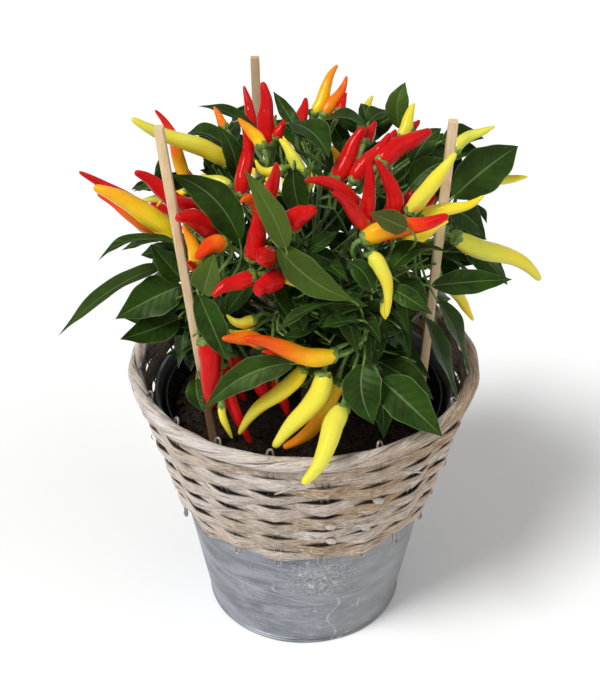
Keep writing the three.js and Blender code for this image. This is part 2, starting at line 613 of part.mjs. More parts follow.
// Bunches, each on one shoot, with chillies as [base, tip, girth, bow]
const FRONT_BUNCHES = [
  {
    name: 'chillies_yellow_upper_left',
    on: 'leafy_shoot_upper_left',
    colour: 'yellow',
    knot: [-34, -20, 326],
    chillies: [
      [[-44, -14, 337], [-97, -26, 370], 10.5, [1, 1, -0.5]],
      [[-41, -36, 331], [-61, -28, 335], 7, [0, 1, 1]],
      [[-23, -34, 355], [-37, -26, 370], 7.5, [0.5, 2, 0]],
    ],
  },
  {
    name: 'chillies_red_upper_left',
    on: 'leafy_shoot_upper_left',
    colour: 'red',
    knot: [-42, -28, 318],
    chillies: [
      [[-36, -44, 330], [-36, -14, 364], 9, [3.5, -3, 1]],
      [[-70, -12, 325], [-87, 4, 362], 8, [3, 1, -0.5]],
    ],
  },
  {
    name: 'chillies_yellow_left',
    on: 'leafy_shoot_left',
    colour: 'yellow',
    knot: [-62, -32, 290],
    chillies: [
      [[-74, -42, 304], [-118, -48, 338], 12, [0, 1, 3]],
    ],
  },
  {
    name: 'chillies_red_left',
    on: 'leafy_shoot_left',
    colour: 'red',
    knot: [-64, -18, 296],
    chillies: [
      [[-81, -22, 302], [-129, -28, 338], 8.5, [-1, 1, 0.5]],
      [[-83, -26, 297], [-120, -26, 323], 9.5, [-1, -1, 1]],
      [[-71, -14, 308], [-100, -8, 328], 10.5, [0, 2, 0]],
    ],
  },
  {
    name: 'chillies_red_left_front',
    on: 'leafy_shoot_left_front',
    colour: 'red',
    knot: [-48, -46, 296],
    chillies: [
      [[-50, -52, 312], [-70, -72, 331], 13, [1, 2, 2]],
      [[-56, -38, 312], [-74, -44, 328], 11, [0, 1, 2]],
    ],
  },
  {
    name: 'chillies_orange_left_front',
    on: 'leafy_shoot_left_front',
    colour: 'orange',
    knot: [-50, -62, 290],
    chillies: [
      [[-62, -66, 299], [-68, -62, 322], 8.5, [3, -1, -1]],
      [[-44, -70, 314], [-59, -86, 314], 10, [-1, 1, 2.5]],
    ],
  },
  {
    name: 'chillies_red_top_left',
    on: 'leafy_shoot_upper_left',
    colour: 'red',
    knot: [-20, -6, 330],
    chillies: [
      [[-31, 14, 343], [-36, 28, 367], 7, [1, 0, 0]],
      [[-20, -14, 347], [-24, 0, 381], 10.5, [0, 0, 0]],
      [[-17, -14, 351], [-11, -10, 362], 6.5, [0, 0, 0]],
    ],
  },
  {
    name: 'chillies_yellow_top',
    on: 'leafy_shoot_top',
    colour: 'yellow',
    knot: [-9, -40, 327],
    chillies: [
      [[0, -46, 344], [-14, -36, 362], 7.5, [0, 1, 1]],
      [[-11, -44, 348], [-27, -48, 355], 6, [-1.5, -2, -4]],
    ],
  },
  {
    name: 'chillies_red_top',
    on: 'leafy_shoot_top',
    colour: 'red',
    knot: [-12, -52, 314],
    chillies: [
      [[-20, -66, 337], [-15, -70, 364], 8.5, [0.5, 0, 0]],
      [[-8, -72, 325], [6, -80, 341], 12, [-1, 1, 2]],
      [[-26, -56, 326], [-35, -66, 338], 7.5, [1, 2, 4]],
    ],
  },
  {
    name: 'chillies_red_front',
    on: 'leafy_shoot_front',
    colour: 'red',
    knot: [-17, -64, 292],
    chillies: [
      [[-29, -76, 307], [-25, -74, 340], 11, [1, 0, 0]],
      [[-20, -76, 308], [-23, -102, 322], 12, [0, 0, 2]],
      [[-27, -82, 301], [-50, -94, 294], 9.5, [-1.5, 1, 1]],
      [[-14, -80, 300], [-25, -104, 302], 12, [-1, 0, 0.5]],
    ],
  },
  {
    name: 'chillies_yellow_back_top',
    on: 'leafy_shoot_back_top',
    colour: 'yellow',
    knot: [8, 10, 334],
    chillies: [
      [[5, 18, 352], [20, 36, 377], 8, [0, 0, 0]],
      [[11, 12, 354], [25, 26, 374], 7.5, [1, 0, -1]],
    ],
  },
  {
    name: 'chillies_red_back_top',
    on: 'leafy_shoot_back_top',
    colour: 'red',
    knot: [4, -2, 328],
    chillies: [
      [[-4, 6, 346], [1, 22, 362], 8.5, [0, 0, 0]],
    ],
  },
  {
    name: 'chillies_yellow_right_top',
    on: 'leafy_shoot_right_top',
    colour: 'yellow',
    knot: [46, 2, 328],
    chillies: [
      [[34, 28, 344], [42, 46, 353], 6.5, [0, 0, 0]],
      [[55, -10, 349], [64, 2, 367], 7.5, [0.5, 0, 1]],
    ],
  },
  {
    name: 'chillies_red_right_top',
    on: 'leafy_shoot_right_top',
    colour: 'red',
    knot: [32, -20, 322],
    chillies: [
      [[43, -22, 343], [53, -8, 355], 8, [0, 0, 0]],
      [[42, -38, 347], [72, -20, 360], 12, [-1, 1, 1.5]],
      [[35, -6, 345], [42, 6, 354], 7.5, [0, 0, 0]],
      [[17, -38, 337], [34, -24, 364], 11, [0, 1, -1]],
      [[27, -42, 338], [48, -28, 362], 9, [0, 0, 0]],
    ],
  },
  {
    name: 'chillies_red_right_front',
    on: 'leafy_shoot_right_front',
    colour: 'red',
    knot: [38, -56, 304],
    chillies: [
      [[30, -54, 328], [0, -62, 349], 8.5, [1.5, 2, 5]],
      [[35, -60, 318], [35, -52, 360], 8, [1, -2, 2.5]],
      [[50, -58, 325], [39, -56, 359], 9.5, [4, 1, 0]],
      [[34, -66, 322], [15, -78, 350], 8.5, [0.5, 1, 2]],
    ],
  },
  {
    name: 'chillies_orange_right_front',
    on: 'leafy_shoot_right_front',
    colour: 'orange',
    knot: [36, -66, 292],
    chillies: [
      [[32, -72, 318], [79, -72, 333], 11.5, [0, 1, 0]],
    ],
  },
  {
    name: 'chillies_yellow_right_front',
    on: 'leafy_shoot_right_front',
    colour: 'yellow',
    knot: [50, -54, 298],
    chillies: [
      [[64, -54, 324], [100, -54, 336], 7.5, [2, -1, -1.5]],
      [[54, -54, 306], [81, -56, 321], 7.5, [1.5, -1, 0]],
      [[58, -60, 328], [83, -54, 362], 9.5, [1, -1, 2]],
    ],
  },
  {
    name: 'chilli_yellow_hanging',
    on: 'leafy_shoot_right_front',
    colour: 'yellow',
    knot: [45, -62, 297],
    chillies: [
      [[37, -80, 312], [46, -88, 277], 9, [2.5, -2, 9.5]],
    ],
  },
  {
    name: 'chillies_yellow_right',
    on: 'leafy_shoot_right',
    colour: 'yellow',
    knot: [86, -20, 298],
    chillies: [
      [[86, -20, 346], [110, -8, 357], 7, [-2, 1, 2]],
      [[108, -4, 326], [134, 4, 319], 6.5, [0, -1, -3]],
      [[87, -40, 302], [144, -18, 260], 12, [2, 2, 2]],
      [[86, -26, 262], [105, -20, 232], 7.5, [1, 1, 1]],
    ],
  },
  {
    name: 'chillies_yellow_front_low',
    on: 'leafy_shoot_front_low',
    colour: 'yellow',
    knot: [34, -76, 256],
    chillies: [
      [[18, -86, 250], [-33, -106, 275], 11, [-1, 1, -3]],
      [[0, -84, 240], [-39, -84, 192], 10, [0, -3, 4.5]],
      [[11, -88, 240], [-18, -98, 193], 13, [5, -2, 1.5]],
      [[20, -74, 225], [-13, -80, 179], 11.5, [6, -1, -1.5]],
      [[22, -98, 222], [-1, -138, 198], 12.5, [3, 0, 1.5]],
    ],
  },
  {
    name: 'chillies_yellow_front_left',
    on: 'leafy_shoot_front',
    colour: 'yellow',
    knot: [-18, -64, 262],
    chillies: [
      [[-28, -74, 268], [-44, -80, 274], 7, [0.5, -1, -4]],
      [[-24, -82, 255], [-46, -94, 267], 9, [0, 1, 2]],
    ],
  },
  {
    name: 'chillies_red_left_low',
    on: 'leafy_shoot_left_front',
    colour: 'red',
    knot: [-46, -52, 244],
    chillies: [
      [[-58, -68, 250], [-55, -74, 205], 13, [1, -2, 0]],
      [[-49, -64, 230], [-32, -80, 182], 9.5, [-2.5, -1, 0.5]],
      [[-44, -50, 228], [-36, -58, 198], 9.5, [0, 0, 0]],
      [[-32, -50, 218], [-22, -60, 198], 10.5, [0, 0, 0]],
      [[-20, -46, 208], [-10, -58, 187], 9.5, [0, 0, 0]],
    ],
  },
];

// The hidden back of the bush follows a rule: chillies fan out of each knot by the golden angle,
// and leaves wind up each branch by the same angle, all turned outward and up
const GOLDEN_ANGLE = THREE.MathUtils.degToRad(137.5);
const CROWN_RISE = { leaves: 1, chillies: 0.5 };
const BACK_CROWNS = [
  {
    place: 'back_left',
    turn: 2.8,
    colour: 'red',
    branch: [[-20, 16, 240], [-38, 36, 248], [-50, 50, 246]],
    chillies: 4,
  },
  {
    place: 'back',
    turn: 0,
    colour: 'yellow',
    branch: [[-2, 24, 244], [-6, 48, 252], [-8, 66, 252]],
    chillies: 4,
  },
  {
    place: 'back_right',
    turn: 2.8,
    colour: 'red',
    branch: [[20, 18, 240], [38, 38, 246], [50, 52, 244]],
    chillies: 4,
  },
  {
    place: 'back_low_left',
    turn: 4,
    colour: 'yellow',
    branch: [[-20, 22, 222], [-40, 50, 222], [-45, 74, 218]],
    chillies: 3,
  },
  {
    place: 'back_low_right',
    turn: 0,
    colour: 'red',
    branch: [[16, 28, 222], [30, 54, 222], [38, 72, 220]],
    chillies: 3,
  },
];

function crownAxis(branch, rise) {
  const end = vec(branch[2]);
  return new THREE.Vector3(end.x, end.y, 0).normalize().addScaledVector(UP, rise).normalize();
}

function fanned(axis, turn, tilt) {
  const side = axis.clone().cross(UP).normalize();
  return axis.clone().applyAxisAngle(side, tilt).applyAxisAngle(axis, turn);
}

const toList = (vector) => vector.toArray().map((value) => Math.round(value * 10) / 10);

function backBunch({ place, colour, branch, chillies }) {
  const axis = crownAxis(branch, CROWN_RISE.chillies);
  const knot = vec(branch[2]).addScaledVector(axis, 12);
  const entries = [];
  for (let index = 0; index < chillies; index += 1) {
    const direction = fanned(axis, index * GOLDEN_ANGLE, 0.35 + 0.12 * index);
    const base = knot.clone().addScaledVector(direction, 12);
    const tip = base.clone().addScaledVector(direction, 46 - 5 * index);
    const bow = toList(direction.cross(UP).multiplyScalar(2));
    entries.push([toList(base), toList(tip), 11 - 0.6 * index, bow]);
  }
  const on = `leafy_shoot_${place}`;
  return { name: `chillies_${colour}_${place}`, on, colour, knot: toList(knot), chillies: entries };
}

function backShoot({ place, turn, branch }) {
  const axis = crownAxis(branch, CROWN_RISE.leaves);
  const path = branch.map(vec);
  const leaves = [];
  for (let index = 0; index < 5; index += 1) {
    const share = 0.35 + 0.65 * (index / 4);
    const first = share < 0.5 ? 0 : 1;
    const [from, to, part] = [path[first], path[first + 1], share * 2 - first];
    const joint = from.clone().lerp(to, part);
    const direction = fanned(axis, turn + (index + 0.5) * GOLDEN_ANGLE, 1.05 + 0.1 * (index % 3));
    const base = joint.clone().addScaledVector(direction, 16);
    const tip = base.clone().addScaledVector(direction, 44 - 2 * index).addScaledVector(UP, -8);
    leaves.push([toList(base), toList(tip), 20 - index, [0, 0, 4], toList(axis)]);
  }
  return { name: `leafy_shoot_${place}`, branch, leaves };
}

const SHOOTS = [...FRONT_SHOOTS, ...BACK_CROWNS.map(backShoot)];
const BUNCHES = [...FRONT_BUNCHES, ...BACK_CROWNS.map(backBunch)];

// Assembly: later pieces are cut clear of the earlier ones, so that nothing crosses
const boxesMeet = (one, two) => {
  const [a, b] = [one.boundingBox(), two.boundingBox()];
  return [0, 1, 2].every((axis) => a.min[axis] < b.max[axis] && b.min[axis] < a.max[axis]);
};

function assemble() {
  const group = new THREE.Group();
  const placed = [];
  const add = (name, finish, solid, clearance = null) => {
    const [colour, roughness, metalness] = FINISH[finish];
    const cutters = placed.filter((other) => boxesMeet(solid, other));
    const geometry = largestSkin(cut(solid, cutters));
    const material = new THREE.MeshStandardMaterial({ color: colour, roughness, metalness });
    const mesh = new THREE.Mesh(geometry, material);
    mesh.name = name;
    group.add(mesh);
    if (clearance) placed.push(clearance);
  };
  add('zinc_bucket', 'zinc', bucket());
  add('willow_band', 'willow', willowBand());
  add('willow_border', 'willow', willowBorder());
  add('nursery_pot', 'plastic', nurseryPot());
  for (const entry of STICKS) add(entry.name, 'stick', stick(entry), stick(entry, CLEARANCE));
  add('main_stem', 'stem', mainStem(SHOOTS), mainStem(SHOOTS, CLEARANCE));
  add('soil', 'soil', soil([]));
  for (const entry of BUNCHES) add(entry.name, entry.colour, bunch(entry), bunch(entry, CLEARANCE));
  for (const entry of SHOOTS) {
    const knots = BUNCHES.filter(({ on }) => on === entry.name).map(({ knot }) => knot);
    add(entry.name, 'leaf', shoot(entry, knots), shoot(entry, knots, CLEARANCE));
  }
  return group;
}

export default assemble();
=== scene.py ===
"""The looks of a potted chilli pepper: finer pieces and finishes round its CAD frame, in metres."""

import logging
import math
import random
from dataclasses import dataclass
from enum import Enum
from typing import Callable, Sequence

import bmesh
import bpy
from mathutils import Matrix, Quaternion, Vector, noise


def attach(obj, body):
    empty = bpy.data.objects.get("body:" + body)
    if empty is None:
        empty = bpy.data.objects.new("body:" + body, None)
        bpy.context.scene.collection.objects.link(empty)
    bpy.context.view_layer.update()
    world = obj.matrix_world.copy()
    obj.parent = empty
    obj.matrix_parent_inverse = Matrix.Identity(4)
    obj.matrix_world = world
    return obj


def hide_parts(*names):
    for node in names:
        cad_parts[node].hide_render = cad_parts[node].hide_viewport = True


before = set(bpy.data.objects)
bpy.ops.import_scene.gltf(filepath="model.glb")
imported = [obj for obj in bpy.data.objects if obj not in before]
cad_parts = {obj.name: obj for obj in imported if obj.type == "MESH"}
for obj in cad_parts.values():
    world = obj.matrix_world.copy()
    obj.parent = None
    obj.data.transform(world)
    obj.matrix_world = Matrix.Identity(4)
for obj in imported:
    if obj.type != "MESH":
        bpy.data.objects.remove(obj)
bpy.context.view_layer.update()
LOG = logging.getLogger("chilli_pot")

MM = 0.001
UP = Vector((0, 0, 1))
EAST = Vector((1, 0, 0))
FULL_TURN = 2 * math.pi
GOLDEN_ANGLE = math.radians(137.5)
STAKES = 20
STAKE_TURN = math.radians(7)
CAMERA_SPOT = Vector((0, -726, 679))
VEINS = 8.0
VEIN_SLANT = 1.5
VEIN_CURVE = 0.8
YOUNG = 0.1
STEM = 1
WIRE = 1

Triple = tuple[float, float, float]
Colour = tuple[float, float, float]
Spot = tuple[Vector, float]  # a point with its tone, its size or its radius
Material = bpy.types.Material


def mix(first: float, second: float, share: float) -> float:
    """Returns the value at a share of the way from the first to the second."""
    return first + (second - first) * share


def taper(first: float, last: float, steps: int) -> list[float]:
    """Returns evenly shared values from the first to the last."""
    return [mix(first, last, step / steps) for step in range(steps + 1)]


def smooth(value: float, low: float, high: float) -> float:
    """Returns 0 below low, 1 above high and an eased share between."""
    share = min(1.0, max(0.0, (value - low) / (high - low)))
    return share * share * (3 - 2 * share)


def swell(value: float, power: float) -> float:
    """Returns the value raised to a power, its sign kept."""
    return math.copysign(abs(value) ** power, value)


def ray(angle: float) -> Vector:
    """Returns the level direction at an angle in radians."""
    return Vector((math.cos(angle), math.sin(angle), 0))


def beside(axis: Vector) -> Vector:
    """Returns a direction square to an axis."""
    return axis.cross(UP if abs(axis.z) < 0.9 else EAST).normalized()


# Finishes ------------------------------------------------------------------

class Field:
    """A value in a finish's node tree, on which sums are written as on numbers."""

    def __init__(self, shader: "Shader", socket: bpy.types.NodeSocket) -> None:
        """Wraps a node's output."""
        self.shader, self.socket = shader, socket

    def __add__(self, other: "Value") -> "Field":
        """Returns the sum."""
        return self.shader.math("ADD", self, other)

    def __sub__(self, other: "Value") -> "Field":
        """Returns this value less another."""
        return self.shader.math("SUBTRACT", self, other)

    def __rsub__(self, other: float) -> "Field":
        """Returns a number less this value."""
        return self.shader.math("SUBTRACT", other, self)

    def __mul__(self, other: "Value") -> "Field":
        """Returns the product."""
        return self.shader.math("MULTIPLY", self, other)

    def __truediv__(self, other: "Value") -> "Field":
        """Returns this value divided by another."""
        return self.shader.math("DIVIDE", self, other)

    def __pow__(self, other: float) -> "Field":
        """Returns this value raised to a power."""
        return self.shader.math("POWER", self, other)

    def __abs__(self) -> "Field":
        """Returns the value without its sign."""
        return self.through("ABSOLUTE")

    def through(self, operation: str) -> "Field":
        """Returns Blender's named operation on this value."""
        return self.shader.math(operation, self)

    def over(self, other: "Value") -> "Field":
        """Returns the larger of this value and another."""
        return self.shader.math("MAXIMUM", self, other)

    def span(self, low: float, high: float, start: float = 0.0, end: float = 1.0) -> "Field":
        """Returns the value eased from the range low to high into the range start to end."""
        inputs = {0: self, 1: low, 2: high, 3: start, 4: end}
        return self.shader.field("ShaderNodeMapRange", inputs, interpolation_type="SMOOTHSTEP")

    def line(self, level: "Value", width: float) -> "Field":
        """Returns 1 where the value meets a level and 0 beyond a width from it."""
        return abs(self - level).span(0.0, width, 1.0, 0.0)


Value = float | tuple | Field


class Shader:
    """A node material in the making, ending in one principled surface."""

    def __init__(self, name: str) -> None:
        """Starts the material.

        Args:
            name: The material's name.
        """
        self.material = bpy.data.materials.new(name)
        self.material.use_nodes = True
        self.tree = self.material.node_tree
        self.tree.nodes.clear()
        self.surface = self.tree.nodes.new("ShaderNodeBsdfPrincipled")
        output = self.tree.nodes.new("ShaderNodeOutputMaterial")
        self.tree.links.new(self.surface.outputs[0], output.inputs["Surface"])
        coordinates = self.tree.nodes.new("ShaderNodeTexCoord").outputs
        self.spot = Field(self, coordinates["Object"])
        self.unwrapped = Field(self, coordinates["UV"])

    def feed(self, socket: bpy.types.NodeSocket, value: Value) -> None:
        """Links or sets a socket.

        Args:
            socket: The input to fill.
            value: Another node's value, a number, or a tuple.
        """
        if isinstance(value, Field):
            self.tree.links.new(value.socket, socket)
        elif isinstance(value, tuple) and socket.type == "RGBA":
            socket.default_value = (*value, 1.0)
        else:
            socket.default_value = value

    def node(self, kind: str, inputs: dict, **settings) -> bpy.types.Node:
        """Adds a node.

        Args:
            kind: Blender's name of the node type.
            inputs: Values by input name or index.
            **settings: Properties of the node.

        Returns:
            The new node.
        """
        made = self.tree.nodes.new(kind)
        for key, value in settings.items():
            setattr(made, key, value)
        for key, value in inputs.items():
            self.feed(made.inputs[key], value)
        return made

    def field(self, kind: str, inputs: dict, output: int | str = 0, **settings) -> Field:
        """Adds a node and returns one of its outputs."""
        return Field(self, self.node(kind, inputs, **settings).outputs[output])

    def attribute(self, name: str) -> Field:
        """Returns a value stored on the piece's points."""
        return self.field("ShaderNodeAttribute", {}, "Fac", attribute_name=name)

    def math(self, operation: str, first: Value, second: Value = 0.0, clamp: bool = False) -> Field:
        """Returns Blender's named operation on two values, kept from 0 to 1 where it is clamped."""
        return self.field("ShaderNodeMath", {0: first, 1: second}, operation=operation, use_clamp=clamp)

    def blend(self, share: Value, first: Value, second: Value) -> Field:
        """Returns two colours mixed, the share being how much of the second shows."""
        return self.field("ShaderNodeMix", {0: share, 6: first, 7: second}, 2, data_type="RGBA")

    def ramp(self, value: Value, stops: Sequence[tuple[float, Colour]]) -> Field:
        """Turns a value into a colour.

        Args:
            value: The value.
            stops: Places from 0 to 1 with their colours.

        Returns:
            The colour.
        """
        made = self.node("ShaderNodeValToRGB", {0: value})
        elements = made.color_ramp.elements
        while len(elements) < len(stops):
            elements.new(0.5)
        for element, (place, colour) in zip(elements, stops):
            element.position = place
            element.color = (*colour, 1.0)
        return Field(self, made.outputs[0])

    def noise(self, vector: Field, scale: float | Triple, detail: float = 4.0, rough: float = 0.5,
              swirl: float = 0.0) -> Field:
        """Gives a cloudy value.

        Args:
            vector: Where it is read.
            scale: How many clouds to a unit, or how many along each axis.
            detail: How many finer layers.
            rough: How strong the finer layers are.
            swirl: How far it is stirred.

        Returns:
            A value round 0.5.
        """
        if isinstance(scale, tuple):
            vector, scale = self.stretch(vector, scale), 1.0
        inputs = {"Vector": vector, "Scale": scale, "Detail": detail, "Roughness": rough, "Distortion": swirl}
        return self.field("ShaderNodeTexNoise", inputs)

    def cells(self, vector: Field, scale: float) -> Field:
        """Returns the distance to the nearest of scattered points, at a number of cells to a unit."""
        return self.field("ShaderNodeTexVoronoi", {"Vector": vector, "Scale": scale}, "Distance")

    def stretch(self, vector: Field, scale: Triple) -> Field:
        """Returns the coordinates scaled along each axis."""
        return self.field("ShaderNodeMapping", {"Vector": vector, "Scale": scale})

    def split(self, vector: Field) -> list[Field]:
        """Returns a vector's three numbers."""
        return [Field(self, socket) for socket in self.node("ShaderNodeSeparateXYZ", {0: vector}).outputs]

    def joined(self, first: Value, second: Value, third: Value = 0.0) -> Field:
        """Returns a vector of three numbers."""
        return self.field("ShaderNodeCombineXYZ", {0: first, 1: second, 2: third})

    def inside(self, share: float) -> Field:
        """Marks the bush's dim inside, where leaves and stems get painted shade.

        Args:
            share: The mark at its middle.

        Returns:
            The share at the bush's middle, 0 near its outline.
        """
        x, y, z = self.split(self.stretch(self.spot, (8.6, 9.4, 8.6)))
        rise = z - 2.1
        # painted shade: strongest at the bush's middle, fading to none near its outline
        return (x * x + y * y + rise * rise).span(0.08, 0.5, share, 0.0)

    def bump(self, height: Field, distance: float, strength: float = 1.0) -> None:
        """Raises the surface by a height of about 0 to 1, a distance in metres and how much of it is used."""
        inputs = {"Height": height, "Distance": distance, "Strength": strength}
        self.feed(self.surface.inputs["Normal"], self.field("ShaderNodeBump", inputs))

    def finish(self, inputs: dict) -> Material:
        """Sets the surface's inputs by name.

        Args:
            inputs: Values by input name.

        Returns:
            The finished material.
        """
        for key, value in inputs.items():
            self.feed(self.surface.inputs[key], value)
        return self.material


@dataclass(frozen=True)
class ZincFinish:
    """Weathered galvanised sheet: cloudy grey with long scratches, a crusty white run and painted shade, darker and
    warmer, on its right side.
    """

    dark: Colour = (0.11, 0.125, 0.145)
    light: Colour = (0.345, 0.365, 0.405)
    shaded_warm_right: Colour = (0.30, 0.285, 0.265)
    crust: Colour = (0.66, 0.67, 0.67)
    pit: Colour = (0.06, 0.065, 0.075)
    base_line_dark: Colour = (0.05, 0.055, 0.06)
    glint: Colour = (0.62, 0.64, 0.66)
    wall_radius: float = 0.085
    run_width: float = 0.28
    patch_turn: float = 0.12
    patch_height: float = 0.070
    drip_turn: float = 0.27

    def dress(self) -> Material:
        """Builds the finish.

        Returns:
            Its material.
        """
        shader = Shader("weathered_zinc")
        x, y, z = shader.split(shader.spot)
        turn = shader.math("ARCTAN2", x, y * -1.0)
        wall = shader.joined(turn * self.wall_radius, z)
        cloud = shader.noise(wall, (18, 60, 1), 5.0, 0.6, 0.6)
        mottle = shader.noise(shader.spot, 260.0, 4.0, 0.65)
        grain = shader.noise(shader.spot, 1500.0, 2.0, 0.6)
        brushed = shader.noise(wall, (45, 900, 1), 4.0, 0.6)
        shade = cloud * 0.5 + mottle * 0.2 + brushed * 0.3
        base = shader.blend(shade.span(0.38, 0.63), self.dark, self.light)
        # painted shade: the right side is made darker and warmer, away from the key light
        base = shader.blend(x.span(-0.01, 0.06, 0.0, 0.5), base, self.shaded_warm_right)
        gate = shader.noise(wall, 45.0, 2.0).span(0.5, 0.62)
        scratch = shader.noise(wall, (9, 26, 1), 1.0, 0.4, 1.2).line(0.5, 0.006) * gate
        second = shader.noise(wall, (30, 11, 1), 1.0, 0.4, 0.8).line(0.47, 0.005) * gate
        bowed = 0.0545 - (turn + 0.72) ** 2.0 * 0.018
        long = z.line(bowed, 0.0007) * abs(turn + 0.3).span(0.35, 0.55, 1.0, 0.0)
        marks = scratch.over(second * 0.7).over(long)
        base = shader.blend(marks * 0.5, base, self.crust)
        drift = shader.noise(shader.joined(0.0, z, 3.0), 60.0, 2.0) * 0.16
        run = turn.line(drift, self.run_width)
        flakes = shader.noise(wall, (170, 90, 1), 5.0, 0.75)
        high = (z - self.patch_height) / 0.020
        wide = (turn - self.patch_turn) / 0.30
        far = (abs(high) ** 2.0 + abs(wide) ** 2.0).through("SQRT")
        curls = shader.noise(wall, (210, 170, 1), 4.0, 0.65, 1.2).line(0.5, 0.05) * far.span(0.5, 1.35, 0.7, 0.0)
        slide = (z * 190.0).through("SINE") * 0.05
        drip = turn.line(slide + self.drip_turn, 0.022) * z.span(0.052, 0.040)
        curls = curls.over(drip * flakes.span(0.4, 0.6, 0.05, 0.75))
        pits = shader.noise(wall, (150, 190, 1), 4.0, 0.65, 1.4).line(0.45, 0.04) * far.span(0.6, 1.5, 0.8, 0.1)
        base = shader.blend(pits, base, self.pit)
        crust = (flakes + far.span(0.2, 1.2, 0.05, 0.0) + run * 0.08).span(0.64, 0.74)
        drops = shader.noise(wall, 210.0, 2.0, 0.6).span(0.70, 0.76)
        crust = crust.over(drops * 0.5).over(curls)
        base = shader.blend(crust * 0.75, base, self.crust)
        # two thin dark lines near the base: just above the floor and in the crease above the foot bead
        edge = z.line(0.0004, 0.0006).over(z.line(0.0031, 0.0007))
        base = shader.blend(edge * 0.8, base, self.base_line_dark)
        base = shader.blend(grain * 0.18, base, self.glint)
        shader.bump(mottle * 0.6 + crust - marks * 0.5, 0.0004, 0.6)
        return shader.finish({"Base Color": base, "Metallic": 0.55 - crust * 0.5,
                              "Roughness": mottle.span(0.3, 0.7, 0.42, 0.62)})


@dataclass(frozen=True)
class WillowFinish:
    """Split willow, weathered to a greyish beige, browner where the strand's tone is high, with pale fibre streaks as
    painted highlights and painted shade along the strands' edges.
    """

    pale: Colour = (0.73, 0.675, 0.635)
    tan: Colour = (0.40, 0.26, 0.135)
    dark: Colour = (0.09, 0.056, 0.036)
    painted_fibre_highlight: Colour = (0.84, 0.80, 0.77)

    def dress(self) -> Material:
        """Builds the finish.

        Returns:
            Its material.
        """
        shader = Shader("split_willow")
        tone = shader.attribute("tone")
        u, v, _ = shader.split(shader.unwrapped)
        along = shader.joined(u * 26.0, v * 42.0, tone * 31.0)
        fibre = shader.noise(along, 1.0, 5.0, 0.65, 0.2)
        fine = shader.noise(along, (3.2, 2.4, 1), 3.0, 0.6)
        broad = shader.noise(along, (0.16, 0.7, 1), 2.0)
        mark = fibre * 0.6 + fine * 0.4
        base = shader.blend(shader.math("ADD", tone * 0.9, broad * 0.35, True), self.pale, self.tan)
        base = shader.blend(mark.span(0.475, 0.39, 0.0, 0.85), base, self.dark)
        # painted highlight: pale streaks along the fibres
        base = shader.blend(mark.span(0.53, 0.61, 0.0, 0.8), base, self.painted_fibre_highlight)
        crack = shader.noise(along, (1.5, 0.10, 1), 1.0, 0.4).line(0.5, 0.016)
        base = shader.blend(crack * 0.65, base, self.dark)
        # painted shade: dark lines along each strand's edges, where it meets the next
        edge = abs((u * 2.0).through("FRACT") - 0.5) * 2.0
        base = shader.blend(edge.span(0.70, 0.94, 0.0, 0.9), base, self.dark)
        shader.bump(mark - crack * 0.4, 0.0006, 0.9)
        return shader.finish({"Base Color": base, "Roughness": 0.82, "Specular IOR Level": 0.3})


@dataclass(frozen=True)
class PlasticFinish:
    """Thin black plastic with a soft gloss and a little dust."""

    colour: Colour = (0.006, 0.006, 0.007)
    dusty: Colour = (0.05, 0.047, 0.045)

    def dress(self) -> Material:
        """Builds the finish.

        Returns:
            Its material.
        """
        shader = Shader("black_plastic")
        dust = shader.noise(shader.spot, 300.0, 5.0, 0.7)
        base = shader.blend(dust.span(0.55, 0.78, 0.0, 0.2), self.colour, self.dusty)
        shader.bump(shader.noise(shader.spot, 60.0, 2.0), 0.0008, 0.4)
        return shader.finish({"Base Color": base, "Roughness": dust.span(0.4, 0.7, 0.22, 0.5)})


@dataclass(frozen=True)
class SoilFinish:
    """Dark crumbly peat with paler fibres."""

    dark: Colour = (0.012, 0.008, 0.005)
    brown: Colour = (0.06, 0.035, 0.02)
    fibre: Colour = (0.28, 0.2, 0.13)

    def dress(self) -> Material:
        """Builds the finish.

        Returns:
            Its material.
        """
        shader = Shader("peat")
        crumbs = shader.noise(shader.spot, 420.0, 6.0, 0.75)
        base = shader.blend(crumbs.span(0.38, 0.68), self.dark, self.brown)
        base = shader.blend(shader.noise(shader.spot, 900.0, 3.0).span(0.66, 0.72), base, self.fibre)
        shader.bump(crumbs + shader.cells(shader.spot, 700.0), 0.002)
        return shader.finish({"Base Color": base, "Roughness": 0.95, "Specular IOR Level": 0.2})


@dataclass(frozen=True)
class SplitWoodFinish:
    """Pale split wood with straight grain, browner where the tone is high."""

    pale: Colour = (0.77, 0.58, 0.35)
    dark: Colour = (0.50, 0.26, 0.09)
    ring: Colour = (0.84, 0.66, 0.42)
    stain: Colour = (0.16, 0.075, 0.03)

    def dress(self) -> Material:
        """Builds the finish.

        Returns:
            Its material.
        """
        shader = Shader("split_wood")
        grain = shader.noise(shader.spot, (1500, 1500, 40), 4.0, 0.6)
        rings = shader.noise(shader.spot, (380, 380, 9), 2.0, 0.5)
        base = shader.blend(grain.span(0.42, 0.7, 0.0, 0.55), self.pale, self.dark)
        base = shader.blend(rings.span(0.45, 0.65, 0.0, 0.35), base, self.ring)
        base = shader.blend(shader.attribute("tone") * 0.92, base, self.stain)
        shader.bump(grain, 0.0005, 0.8)
        return shader.finish({"Base Color": base, "Roughness": 0.7, "Specular IOR Level": 0.35})


